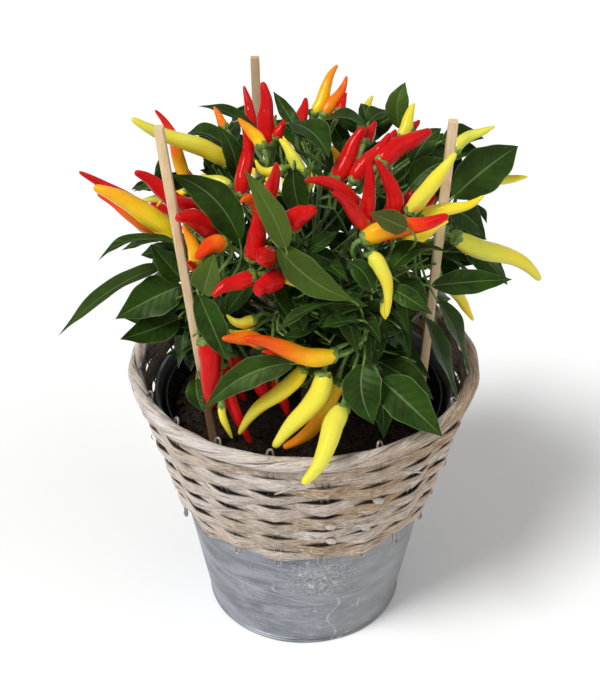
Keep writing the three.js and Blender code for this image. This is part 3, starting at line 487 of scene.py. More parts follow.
@dataclass(frozen=True)
class StemFinish:
    """Green stem, woody brown where the tone is high, with painted shade deep inside the bush."""

    green: Colour = (0.085, 0.17, 0.025)
    fresh: Colour = (0.20, 0.33, 0.06)
    bark: Colour = (0.16, 0.115, 0.065)
    pale_bark: Colour = (0.30, 0.23, 0.14)
    shadow: Colour = (0.004, 0.008, 0.002)

    def dress(self) -> Material:
        """Builds the finish.

        Returns:
            Its material.
        """
        shader = Shader("stem")
        streak = shader.noise(shader.spot, (900, 900, 160), 4.0, 0.6)
        base = shader.blend(streak.span(0.4, 0.65), self.green, self.fresh)
        bark = shader.blend(streak, self.bark, self.pale_bark)
        base = shader.blend(shader.attribute("tone").span(0.4, 0.8), base, bark)
        shader.bump(streak, 0.0005, 0.6)
        # painted shade: the stem darkens towards the bush's middle
        base = shader.blend(shader.inside(0.55), base, self.shadow)
        return shader.finish({"Base Color": base, "Roughness": 0.5})


@dataclass(frozen=True)
class LeafFinish:
    """Satin leaf: pale midrib and side veins, a painted highlight along the edge, lighter for a high tone and olive
    below zero, with painted shade deep inside the bush.
    """

    deep: Colour = (0.009, 0.021, 0.003)
    green: Colour = (0.019, 0.052, 0.004)
    light: Colour = (0.100, 0.150, 0.018)
    olive: Colour = (0.075, 0.075, 0.015)
    speck: Colour = (0.035, 0.075, 0.010)
    vein_and_edge_highlight: Colour = (0.15, 0.24, 0.09)
    under: Colour = (0.075, 0.14, 0.05)
    shadow: Colour = (0.002, 0.004, 0.001)
    sheen: Colour = (0.75, 1.0, 0.5)

    def dress(self) -> Material:
        """Builds the finish.

        Returns:
            Its material.
        """
        shader = Shader("leaf")
        tone = shader.attribute("tone")
        u, v, _ = shader.split(shader.unwrapped)
        across = abs((u * 2.0).through("FRACT") * 2.0 - 1.0)
        cloud = shader.noise(shader.spot, 70.0, 4.0, 0.6)
        speckle = shader.noise(shader.spot, 900.0, 3.0, 0.6)
        base = shader.blend(cloud.span(0.35, 0.65), self.deep, self.green)
        base = shader.blend(tone.span(0.3, 1.0), base, self.light)
        base = shader.blend(tone.span(0.0, -0.8), base, self.olive)
        base = shader.blend(speckle * 0.25, base, self.speck)
        slant = v * VEINS - across ** VEIN_CURVE * VEIN_SLANT
        side = abs(slant.through("FRACT") - 0.5)
        veins = side.span(0.0, 0.09, 1.0, 0.0) * across.span(0.55, 0.95, 1.0, 0.0)
        rib = across.span(0.015, 0.07, 1.0, 0.0)
        # painted highlight: a pale line along the leaf's edge
        rim = across.span(0.94, 0.985)
        marks = (veins * 0.07).over(rib * 0.55).over(rim * 0.6)
        base = shader.blend(marks, base, self.vein_and_edge_highlight)
        base = shader.blend(u.span(0.499, 0.501, 0.0, 0.6), base, self.under)
        # painted shade: the leaf darkens towards the bush's middle
        base = shader.blend(shader.inside(0.6), base, self.shadow)
        shader.bump(side.span(0.0, 0.5) * 0.8 + speckle * 0.25 - rib * 0.8, 0.0006, 0.25)
        return shader.finish({"Base Color": base, "Roughness": speckle.span(0.3, 0.7, 0.36, 0.50),
                              "Specular IOR Level": 0.18, "Specular Tint": self.sheen})


@dataclass(frozen=True)
class ChilliFinish:
    """Glossy chilli skin, coloured by how ripe each point is."""

    stops: tuple = (
        (0.0, (0.10, 0.20, 0.02)),
        (0.12, (0.42, 0.50, 0.05)),
        (0.25, (0.74, 0.70, 0.075)),
        (0.38, (0.86, 0.64, 0.02)),
        (0.50, (0.88, 0.42, 0.012)),
        (0.62, (0.86, 0.20, 0.008)),
        (0.78, (0.78, 0.060, 0.006)),
        (0.92, (0.66, 0.013, 0.008)),
        (1.0, (0.53, 0.006, 0.007)),
    )

    def dress(self) -> Material:
        """Builds the finish.

        Returns:
            Its material.
        """
        shader = Shader("chilli_skin")
        ripe = shader.attribute("tone")
        u, v, _ = shader.split(shader.unwrapped)
        streaks = shader.joined(u * 5.0, v * 2.0, ripe * 4.0)
        blotch = shader.noise(shader.spot, 130.0, 3.0, 0.55)
        streak = shader.noise(streaks, 1.0, 3.0, 0.5)
        shift = (blotch - 0.5) * 0.16 + (streak - 0.5) * 0.20
        colour = shader.ramp(shader.math("ADD", ripe, shift, True), self.stops)
        wrinkle = shader.noise(streaks, (2.2, 5.0, 1.0), 3.0, 0.5)
        pimples = shader.noise(shader.spot, 650.0, 2.0, 0.5)
        shader.bump(wrinkle + pimples * 0.5, 0.0006, 0.45)
        return shader.finish({"Base Color": colour, "Roughness": blotch.span(0.3, 0.7, 0.11, 0.2),
                              "Specular IOR Level": 0.5,
                              "Specular Tint": shader.blend(0.22, colour, (1.0, 1.0, 1.0))})


@dataclass(frozen=True)
class WireFinish:
    """Dull galvanised wire."""

    dark: Colour = (0.17, 0.16, 0.15)
    light: Colour = (0.5, 0.49, 0.47)

    def dress(self) -> Material:
        """Builds the finish.

        Returns:
            Its material.
        """
        shader = Shader("dull_wire")
        tarnish = shader.noise(shader.spot, 500.0, 4.0, 0.6)
        shader.bump(tarnish, 0.0003, 0.5)
        base = shader.blend(tarnish, self.dark, self.light)
        return shader.finish({"Base Color": base, "Metallic": 0.8, "Roughness": 0.45})


@dataclass(frozen=True)
class FloorFinish:
    """Matt white paper."""

    white: Colour = (0.93, 0.93, 0.93)
    grey: Colour = (0.88, 0.88, 0.88)

    def dress(self) -> Material:
        """Builds the finish.

        Returns:
            Its material.
        """
        shader = Shader("white_paper")
        base = shader.blend(shader.noise(shader.spot, 90.0, 3.0) * 0.1, self.white, self.grey)
        return shader.finish({"Base Color": base, "Roughness": 0.95, "Specular IOR Level": 0.1})


# Making meshes -------------------------------------------------------------

class Skin:
    """A mesh in the making: grids laid over surfaces given by formulas, in millimetres."""

    def __init__(self, name: str, materials: Sequence[Material]) -> None:
        """Starts an empty mesh.

        Args:
            name: The piece's name.
            materials: Its materials, picked by a surface's kind.
        """
        self.name = name
        self.materials = materials
        self.bm = bmesh.new()
        self.bm.loops.layers.uv.new("UVMap")
        self.tone = self.bm.verts.layers.float.new("tone")
        self.kind = self.bm.verts.layers.float.new("kind")

    def sheet(self, around: int, along: int, place: Callable[[float, float], Spot],
              kind: int = 0) -> None:
        """Lays a grid over a surface.

        Args:
            around: Cells across the first share.
            along: Cells across the second share.
            place: Gives the point and its tone for two shares from 0 to 1.
            kind: Which of the piece's materials it has.
        """
        made = bmesh.ops.create_grid(self.bm, x_segments=around, y_segments=along, size=0.5, calc_uvs=True)
        for vert in made["verts"]:
            point, tone = place(vert.co.x + 0.5, vert.co.y + 0.5)
            vert.co = point * MM
            vert[self.tone] = tone
            vert[self.kind] = kind

    def tube(self, points: Sequence[Vector], radii: Sequence[float], around: int,
             tones: Sequence[float] | float = 0.0, kind: int = 0,
             relief: Callable[[float, float], float] | None = None) -> None:
        """Lays a closed round body along points, its loops carried along without a twist.

        Args:
            points: Its middle line.
            radii: Its radius at each point.
            around: Cells round it.
            tones: A tone for each point, or one for all.
            kind: Which of the piece's materials it has.
            relief: Gives a factor on the radius for a turn in radians and a share of the length.
        """
        count = len(points)
        last = count - 1
        rights, ups = [], []
        right = UP if abs((points[1] - points[0]).normalized().z) < 0.9 else EAST
        for step in range(count):
            tangent = (points[min(step + 1, last)] - points[max(step - 1, 0)]).normalized()
            right = (right - tangent * right.dot(tangent)).normalized()
            rights.append(right)
            ups.append(tangent.cross(right))

        def place(u: float, w: float) -> Spot:
            """Places a corner of the tube's grid.

            Args:
                u: Share of the way around the tube.
                w: Share of the way along it.

            Returns:
                Its point and tone.
            """
            row = round(w * (count + 1)) - 1
            step = min(last, max(0, row))
            radius = radii[step] if 0 <= row <= last else 0.0
            angle = FULL_TURN * u
            if relief and radius:
                radius *= relief(angle, step / last)
            tone = tones if isinstance(tones, (int, float)) else tones[step]
            return points[step] + (rights[step] * math.cos(angle) + ups[step] * math.sin(angle)) * radius, tone

        self.sheet(around, count + 1, place, kind)

    def lump(self, centre: Vector, radius: float, detail: int, tone: float, kind: int, rough: float = 0.0,
             squash: float = 1.0) -> None:
        """Adds a small rounded lump.

        Args:
            centre: Its middle.
            radius: Its radius.
            detail: How many times its sphere is split.
            tone: Its tone.
            kind: Which of the piece's materials it has.
            rough: How far its points are moved, as a share of the radius.
            squash: Its height as a share of its width.
        """
        made = bmesh.ops.create_icosphere(self.bm, subdivisions=detail, radius=radius)
        for vert in made["verts"]:
            shift = 1 + rough * noise.noise((vert.co + centre) * 0.9)
            vert.co = (Vector((vert.co.x, vert.co.y, vert.co.z * squash)) * shift + centre) * MM
            vert[self.tone] = tone
            vert[self.kind] = kind

    def piece(self, slot: str, replaced: Sequence[str] = (), sharp: float = 60.0) -> bpy.types.Object:
        """Closes the mesh and makes it a piece of the object.

        Args:
            slot: The record's material slot; not used.
            replaced: The CAD nodes it stands for.
            sharp: The angle in degrees past which an edge stays sharp.

        Returns:
            The new object.
        """
        bmesh.ops.remove_doubles(self.bm, verts=self.bm.verts, dist=0.001 * MM)
        for face in self.bm.faces:
            face.material_index = round(face.verts[0][self.kind])
            face.smooth = True
        self.bm.verts.layers.float.remove(self.kind)
        mesh = bpy.data.meshes.new(self.name)
        self.bm.to_mesh(mesh)
        self.bm.free()
        mesh.set_sharp_from_angle(angle=math.radians(sharp))
        made = bpy.data.objects.new(self.name, mesh)
        bpy.context.scene.collection.objects.link(made)
        for material in self.materials:
            mesh.materials.append(material)
        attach(made, "root")
        if replaced:
            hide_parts(*replaced)
        LOG.info("%s: %d faces", self.name, len(mesh.polygons))
        return made


def spun(name: str, profile: Sequence[tuple[float, float]], steps: int) -> Skin:
    """Spins a profile round the Z axis.

    Args:
        name: The piece's name.
        profile: Radius and height of each corner, in millimetres, from the axis back to the axis.
        steps: Cells round it.

    Returns:
        The skin, not yet a piece.
    """
    skin = Skin(name, [])
    corners = [skin.bm.verts.new((radius * MM, 0, height * MM)) for radius, height in profile]
    edges = [skin.bm.edges.new(pair) for pair in zip(corners, corners[1:])]
    bmesh.ops.spin(skin.bm, geom=corners + edges, cent=(0, 0, 0), axis=(0, 0, 1), dvec=(0, 0, 0),
                   angle=FULL_TURN, steps=steps, use_merge=True, use_duplicate=False)
    bmesh.ops.remove_doubles(skin.bm, verts=skin.bm.verts, dist=0.001 * MM)
    bmesh.ops.recalc_face_normals(skin.bm, faces=skin.bm.faces)
    return skin


def arc(radius: float, height: float, size: float, start: float, end: float, steps: int) -> list[tuple[float, float]]:
    """Returns corners of a rounded edge.

    Args:
        radius: The middle's distance from the axis.
        height: The middle's height.
        size: The rounding's radius.
        start: Where it starts, in degrees from pointing out.
        end: Where it ends.
        steps: How many cells it has.

    Returns:
        Radius and height of each corner.
    """
    angles = [math.radians(mix(start, end, step / steps)) for step in range(steps + 1)]
    return [(radius + size * math.cos(angle), height + size * math.sin(angle)) for angle in angles]


@dataclass(frozen=True)
class Curve:
    """A quadratic curve, in millimetres."""

    start: Vector
    control: Vector
    end: Vector

    @classmethod
    def through(cls, points: Sequence[Triple]) -> "Curve":
        """Returns the curve of three points given as numbers."""
        return cls(*(Vector(point) for point in points))

    def at(self, share: float) -> Vector:
        """Returns the point at a share of the way."""
        rest = 1 - share
        return self.start * rest * rest + self.control * 2 * rest * share + self.end * share * share

    def tangent(self, share: float) -> Vector:
        """Returns the direction at a share of the way."""
        return ((self.control - self.start) * (1 - share) + (self.end - self.control) * share).normalized()

    def nearest(self, target: Vector, steps: int = 24) -> Vector:
        """Returns the nearest to a target of evenly shared points."""
        return min(self.points(steps), key=lambda point: (point - target).length)

    def points(self, steps: int) -> list[Vector]:
        """Returns evenly shared points."""
        return [self.at(step / steps) for step in range(steps + 1)]


# What grows on the plant ---------------------------------------------------

class Facing(Enum):
    """Which way the upper side of a leaf looks."""

    UP = (0, 0, 1)
    FRONT = (0, -0.8, 0.6)
    LEFT = (-0.75, -0.3, 0.6)
    RIGHT = (0.75, -0.3, 0.6)
    BACK = (0, 0.8, 0.6)


@dataclass(frozen=True)
class Grown:
    """What leaf and chilli share: where it starts and ends, its width, and how far its middle bows aside."""

    base: Triple
    tip: Triple
    width: float
    bow: Triple

    def curve(self) -> Curve:
        """Returns its middle line."""
        base, tip = Vector(self.base), Vector(self.tip)
        return Curve(base, (base + tip) / 2 + 2 * Vector(self.bow), tip)


@dataclass(frozen=True)
class Leaf(Grown):
    """One leaf, with its facing and tone."""

    facing: Facing | Triple = Facing.FRONT
    tone: float = 0.3

    def upper(self) -> Vector:
        """Returns the way its upper side looks."""
        return Vector(self.facing.value if isinstance(self.facing, Facing) else self.facing)


@dataclass(frozen=True)
class Pod(Grown):
    """One chilli, and how ripe it is at both ends."""

    ripe_base: float
    ripe_tip: float


@dataclass(frozen=True)
class Bunch:
    """Chillies that share a knot on a shoot's twig."""

    name: str
    on: str
    knot: Triple
    pods: tuple[Pod, ...]


@dataclass(frozen=True)
class Shoot:
    """A branch with its leaves."""

    name: str
    branch: tuple[Triple, Triple, Triple]
    leaves: tuple[Leaf, ...]

    def path(self) -> Curve:
        """Returns the branch's curve."""
        return Curve.through(self.branch)


FRONT_SHOOTS = (
    Shoot("leafy_shoot_left", ((-24, -14, 238), (-42, -24, 262), (-56, -26, 284)), (
        Leaf((-73, -54, 306), (-118, -58, 296), 11, (-3, 4, 5.5), Facing.UP),
        Leaf((-83, -40, 282), (-150, -40, 233), 15, (1, 2, 7), Facing.LEFT, 0.45),
        Leaf((-71, -46, 276), (-88, -50, 303), 15, (0, 1, -1)),
        Leaf((-72, -43, 271), (-111, -58, 257), 24, (1, 3, 0.5)),
        Leaf((-74, -44, 249), (-107, -72, 252), 19, (-0.5, 5, -4)),
        Leaf((-82, -2, 312), (-104, 8, 307), 12, (0, 1, 2), Facing.UP),
        Leaf((-82, 4, 311), (-87, 12, 328), 10, (-1, 0, 0)),
    )),
    Shoot("leafy_shoot_left_front", ((-20, -24, 228), (-36, -42, 252), (-46, -54, 278)), (
        Leaf((-36, -58, 308), (-74, -50, 347), 21, (4.5, 2, 5.5)),
        Leaf((-57, -80, 288), (-49, -84, 316), 17, (0, -2, 0), tone=0.7),
        Leaf((-60, -78, 288), (-44, -96, 254), 16, (1, -1, -2)),
        Leaf((-65, -60, 216), (-60, -78, 204), 13, (-1.5, -1, 0.5)),
    )),
    Shoot("leafy_shoot_upper_left", ((-14, -6, 250), (-24, -12, 284), (-32, -16, 312)), (
        Leaf((-44, -10, 344), (-69, -2, 349), 19, (-1, 2, 4), Facing.UP, 0.25),
        Leaf((-39, -28, 333), (-49, -26, 366), 12, (3.5, -2, 2)),
        Leaf((-24, 2, 339), (-63, 14, 360), 13, (3, 4, 4.5), Facing.UP),
    )),
    Shoot("leafy_shoot_top", ((-4, -14, 252), (-6, -28, 284), (-4, -36, 312)), (
        Leaf((0, -16, 352), (-18, 8, 372), 9, (-1, 1, 1)),
        Leaf((-7, -14, 362), (14, -44, 354), 20, (2, 1, 3), Facing.UP),
        Leaf((-6, -30, 352), (13, -52, 352), 9, (0, 0, 1), Facing.BACK),
        Leaf((-6, -54, 353), (2, -60, 318), 15, (-2.5, 1, 0.5)),
    )),
    Shoot("leafy_shoot_front", ((-2, -28, 226), (-6, -50, 254), (-10, -62, 278)), (
        Leaf((-10, -84, 319), (-32, -80, 365), 14, (3, -2, -0.5), tone=0.75),
        Leaf((-15, -82, 320), (28, -88, 288), 18, (-2.5, -2, -3), tone=0.6),
        Leaf((-12, -80, 260), (5, -84, 266), 11, (0, -1, -2), Facing.UP),
    )),
    Shoot("leafy_shoot_back_top", ((5, 8, 254), (8, 8, 288), (10, 4, 318)), (
        Leaf((8, 4, 354), (36, -18, 360), 16, (1, 2, 4), Facing.UP),
        Leaf((38, 12, 350), (52, 22, 352), 13, (0, 1, 3), Facing.UP),
    )),
    Shoot("leafy_shoot_right_top", ((14, -4, 252), (30, -8, 284), (40, -10, 316)), (
        Leaf((57, 12, 346), (60, 24, 371), 14, (-3.5, -2, 2.5), tone=0.6),
        Leaf((62, -20, 338), (80, -2, 353), 14, (-1, 1, 3)),
        Leaf((60, -30, 328), (84, -22, 342), 16, (-1, 1, 3)),
    )),
    Shoot("leafy_shoot_right_front", ((14, -24, 236), (32, -44, 262), (42, -56, 290)), (
        Leaf((56, -80, 329), (35, -82, 340), 13, (0.5, 0, 0), tone=-0.6),
        Leaf((38, -78, 289), (23, -74, 305), 13, (1.5, -2, 4.5)),
        Leaf((47, -78, 299), (80, -68, 308), 18, (-2.5, 2, 6.5), Facing.UP),
        Leaf((53, -70, 290), (70, -78, 277), 17, (0, 0, 0)),
        Leaf((48, -84, 294), (71, -96, 284), 11, (-1, 0, 1.5)),
    )),
    Shoot("leafy_shoot_right", ((22, -4, 238), (46, -16, 266), (68, -22, 288)), (
        Leaf((73, -60, 281), (122, -46, 277), 15, (0, 1, 0)),
        Leaf((84, -32, 288), (123, -16, 261), 14, (2, 2, 4), Facing.UP),
        Leaf((86, -26, 320), (127, 6, 338), 26, (1, 0, 3), tone=0.4),
        Leaf((85, -26, 312), (109, -16, 288), 17, (0, 1, 4)),
        Leaf((90, -8, 316), (112, 2, 288), 14, (1, 0, 2), Facing.UP),
        Leaf((76, -62, 274), (96, -70, 229), 18, (2.5, 0, 0.5), Facing.RIGHT),
        Leaf((71, -54, 257), (93, -64, 203), 18, (0.5, -1, -0.5), Facing.RIGHT),
    )),
    Shoot("leafy_shoot_front_low", ((12, -34, 214), (24, -56, 234), (34, -70, 250)), (
        Leaf((19, -88, 289), (-16, -104, 276), 9, (-2, 1, 2.5), Facing.UP),
        Leaf((31, -86, 274), (9, -98, 277), 12, (0, 0, 1), Facing.UP),
        Leaf((34, -88, 246), (40, -108, 217), 23, (-4, -2, 1.5)),
        Leaf((44, -86, 234), (79, -114, 213), 24, (-1, -2, 3)),
        Leaf((44, -76, 228), (47, -92, 195), 13, (1, 0, 0)),
        Leaf((46, -58, 226), (78, -68, 206), 18, (0, 0, 2)),
        Leaf((-6, -94, 250), (-58, -102, 223), 17, (-1.5, 2, 6.5), tone=0.42),
    )),
)
FRONT_BUNCHES = (
    Bunch("chillies_yellow_upper_left", "leafy_shoot_upper_left", (-34, -20, 326), (
        Pod((-44, -14, 337), (-97, -26, 370), 10.5, (1, 1, -0.5), 0.3, 0.25),
        Pod((-41, -36, 331), (-61, -28, 335), 7, (0, 1, 1), 0.2, 0.25),
        Pod((-23, -34, 355), (-37, -26, 370), 7.5, (0.5, 2, 0), 0.42, 0.6),
    )),
    Bunch("chillies_red_upper_left", "leafy_shoot_upper_left", (-42, -28, 318), (
        Pod((-36, -44, 330), (-36, -14, 364), 9, (3.5, -3, 1), 0.97, 1.0),
        Pod((-70, -12, 325), (-87, 4, 362), 8, (3, 1, -0.5), 0.45, 0.95),
    )),
    Bunch("chillies_yellow_left", "leafy_shoot_left", (-62, -32, 290), (
        Pod((-74, -42, 304), (-118, -48, 338), 12, (0, 1, 3), 0.35, 0.5),
    )),
    Bunch("chillies_red_left", "leafy_shoot_left", (-64, -18, 296), (
        Pod((-81, -22, 302), (-129, -28, 338), 8.5, (-1, 1, 0.5), 0.8, 0.97),
        Pod((-83, -26, 297), (-120, -26, 323), 9.5, (-1, -1, 1), 0.6, 0.8),
        Pod((-71, -14, 308), (-100, -8, 328), 10.5, (0, 2, 0), 0.97, 1.0),
        Pod((-80, 0, 304), (-102, 5, 301), 4.8, (0, 1, 2), 0.25, 0.25),
        Pod((-68, -10, 317), (-88, -10, 306), 4.8, (-1, 1, 1), 0.35, 0.35),
    )),
    Bunch("chillies_red_left_front", "leafy_shoot_left_front", (-48, -46, 296), (
        Pod((-50, -52, 312), (-70, -72, 331), 13, (1, 2, 2), 0.97, 1.0),
        Pod((-56, -38, 312), (-74, -44, 328), 11, (0, 1, 2), 0.97, 1.0),
        Pod((-61, -70, 299), (-65, -78, 307), 5, (0, 0, 0), 0.7, 0.9),
    )),
    Bunch("chillies_orange_left_front", "leafy_shoot_left_front", (-50, -62, 290), (
        Pod((-62, -66, 299), (-68, -62, 322), 8.5, (3, -1, -1), 0.42, 0.6),
        Pod((-44, -70, 314), (-59, -86, 314), 10, (-1, 1, 2.5), 0.62, 0.85),
    )),
    Bunch("chillies_red_top_left", "leafy_shoot_upper_left", (-20, -6, 330), (
        Pod((-31, 14, 343), (-36, 28, 367), 7, (1, 0, 0), 0.97, 1.0),
        Pod((-20, -14, 347), (-24, 0, 381), 10.5, (0, 0, 0), 0.98, 1.0),
        Pod((-17, -14, 351), (-11, -10, 362), 6.5, (0, 0, 0), 0.9, 1.0),
        Pod((-45, -12, 357), (-52, -5, 368), 5.2, (0, 0, 0), 0.6, 0.7),
        Pod((-18, -4, 350), (-16, 4, 359), 4.7, (-1, 0, 0), 0.15, 0.2),
    )),
    Bunch("chillies_yellow_top", "leafy_shoot_top", (-9, -40, 327), (
        Pod((0, -46, 344), (-14, -36, 362), 7.5, (0, 1, 1), 0.2, 0.3),
        Pod((-11, -44, 348), (-27, -48, 355), 6, (-1.5, -2, -4), 0.3, 0.35),
    )),
    Bunch("chillies_red_top", "leafy_shoot_top", (-12, -52, 314), (
        Pod((-20, -66, 337), (-15, -70, 364), 8.5, (0.5, 0, 0), 0.95, 1.0),
        Pod((-8, -72, 325), (6, -80, 341), 12, (-1, 1, 2), 0.97, 1.0),
        Pod((-26, -56, 326), (-35, -66, 338), 7.5, (1, 2, 4), 0.7, 0.75),
    )),
    Bunch("chillies_red_front", "leafy_shoot_front", (-17, -64, 292), (
        Pod((-29, -76, 307), (-25, -74, 340), 11, (1, 0, 0), 0.98, 1.0),
        Pod((-20, -76, 308), (-23, -102, 322), 12, (0, 0, 2), 0.98, 1.0),
        Pod((-27, -82, 301), (-50, -94, 294), 9.5, (-1.5, 1, 1), 0.97, 1.0),
        Pod((-14, -80, 300), (-25, -104, 302), 12, (-1, 0, 0.5), 0.97, 1.0),
        Pod((0, -76, 294), (-13, -80, 296), 6.7, (0, 0, 0), 0.35, 0.4),
    )),
    Bunch("chillies_yellow_back_top", "leafy_shoot_back_top", (8, 10, 334), (
        Pod((5, 18, 352), (20, 36, 377), 8, (0, 0, 0), 0.4, 0.6),
        Pod((11, 12, 354), (25, 26, 374), 7.5, (1, 0, -1), 0.6, 0.75),
    )),
    Bunch("chillies_red_back_top", "leafy_shoot_back_top", (4, -2, 328), (
        Pod((-4, 6, 346), (1, 22, 362), 8.5, (0, 0, 0), 0.95, 1.0),
        Pod((20, 12, 356), (25, 20, 366), 5.3, (0, 0, 0), 0.95, 1.0),
    )),
    Bunch("chillies_yellow_right_top", "leafy_shoot_right_top", (46, 2, 328), (
        Pod((34, 28, 344), (42, 46, 353), 6.5, (0, 0, 0), 0.3, 0.3),
        Pod((55, -10, 349), (64, 2, 367), 7.5, (0.5, 0, 1), 0.3, 0.33),
        Pod((62, 4, 349), (68, 10, 353), 5.3, (0, 0, 0), 0.9, 1.0),
    )),
    Bunch("chillies_red_right_top", "leafy_shoot_right_top", (32, -20, 322), (
        Pod((43, -22, 343), (53, -8, 355), 8, (0, 0, 0), 0.95, 1.0),
        Pod((42, -38, 347), (72, -20, 360), 12, (-1, 1, 1.5), 0.97, 1.0),
        Pod((35, -6, 345), (42, 6, 354), 7.5, (0, 0, 0), 0.95, 1.0),
        Pod((17, -38, 337), (34, -24, 364), 11, (0, 1, -1), 0.95, 1.0),
        Pod((27, -42, 338), (48, -28, 362), 9, (0, 0, 0), 0.95, 1.0),
        Pod((20, -30, 339), (14, -22, 352), 5.7, (2, 0, 0), 0.42, 0.5),
    )),
    Bunch("chillies_red_right_front", "leafy_shoot_right_front", (38, -56, 304), (
        Pod((30, -54, 328), (0, -62, 349), 8.5, (1.5, 2, 5), 0.95, 1.0),
        Pod((35, -60, 318), (35, -52, 360), 8, (1, -2, 2.5), 0.95, 1.0),
        Pod((50, -58, 325), (39, -56, 359), 9.5, (4, 1, 0), 0.95, 1.0),
        Pod((34, -66, 322), (15, -78, 350), 8.5, (0.5, 1, 2), 0.9, 1.0),
    )),
    Bunch("chillies_orange_right_front", "leafy_shoot_right_front", (36, -66, 292), (
        Pod((32, -72, 318), (79, -72, 333), 11.5, (0, 1, 0), 0.5, 0.95),
    )),
    Bunch("chillies_yellow_right_front", "leafy_shoot_right_front", (50, -54, 298), (
        Pod((64, -54, 324), (100, -54, 336), 7.5, (2, -1, -1.5), 0.32, 0.36),
        Pod((54, -54, 306), (81, -56, 321), 7.5, (1.5, -1, 0), 0.35, 0.36),
        Pod((58, -60, 328), (83, -54, 362), 9.5, (1, -1, 2), 0.3, 0.3),
    )),
    Bunch("chilli_yellow_hanging", "leafy_shoot_right_front", (45, -62, 297), (
        Pod((37, -80, 312), (46, -88, 277), 9, (2.5, -2, 9.5), 0.25, 0.33),
        Pod((46, -70, 279), (47, -74, 267), 5.1, (-1, 0, 0), 0.3, 0.35),
    )),
    Bunch("chillies_yellow_right", "leafy_shoot_right", (86, -20, 298), (
        Pod((86, -20, 346), (110, -8, 357), 7, (-2, 1, 2), 0.2, 0.25),
        Pod((108, -4, 326), (134, 4, 319), 6.5, (0, -1, -3), 0.3, 0.33),
        Pod((87, -40, 302), (144, -18, 260), 12, (2, 2, 2), 0.25, 0.32),
        Pod((86, -26, 262), (105, -20, 232), 7.5, (1, 1, 1), 0.3, 0.4),
    )),
    Bunch("chillies_yellow_front_low", "leafy_shoot_front_low", (34, -76, 256), (
        Pod((18, -86, 250), (-33, -106, 275), 11, (-1, 1, -3), 0.42, 0.8),
        Pod((0, -84, 240), (-39, -84, 192), 10, (0, -3, 4.5), 0.32, 0.3),
        Pod((11, -88, 240), (-18, -98, 193), 13, (5, -2, 1.5), 0.3, 0.28),
        Pod((20, -74, 225), (-13, -80, 179), 11.5, (6, -1, -1.5), 0.45, 0.6),
        Pod((22, -98, 222), (-1, -138, 198), 12.5, (3, 0, 1.5), 0.25, 0.28),
    )),
    Bunch("chillies_yellow_front_left", "leafy_shoot_front", (-18, -64, 262), (
        Pod((-28, -74, 268), (-44, -80, 274), 7, (0.5, -1, -4), 0.28, 0.3),
        Pod((-24, -82, 255), (-46, -94, 267), 9, (0, 1, 2), 0.6, 0.72),
        Pod((-29, -76, 262), (-43, -80, 264), 5.1, (0, -2, -2), 0.32, 0.34),
        Pod((-7, -86, 249), (-24, -92, 257), 5.7, (0, 0, 0), 0.7, 0.85),
    )),
    Bunch("chillies_red_left_low", "leafy_shoot_left_front", (-46, -52, 244), (
        Pod((-58, -68, 250), (-55, -74, 205), 13, (1, -2, 0), 0.97, 1.0),
        Pod((-49, -64, 230), (-32, -80, 182), 9.5, (-2.5, -1, 0.5), 0.95, 1.0),
        Pod((-44, -50, 228), (-36, -58, 198), 9.5, (0, 0, 0), 0.95, 1.0),
        Pod((-32, -50, 218), (-22, -60, 198), 10.5, (0, 0, 0), 0.95, 1.0),
        Pod((-20, -46, 208), (-10, -58, 187), 9.5, (0, 0, 0), 0.9, 1.0),
        Pod((-49, -80, 212), (-43, -84, 189), 4.8, (-1, -1, -1), 0.3, 0.3),
    )),
)

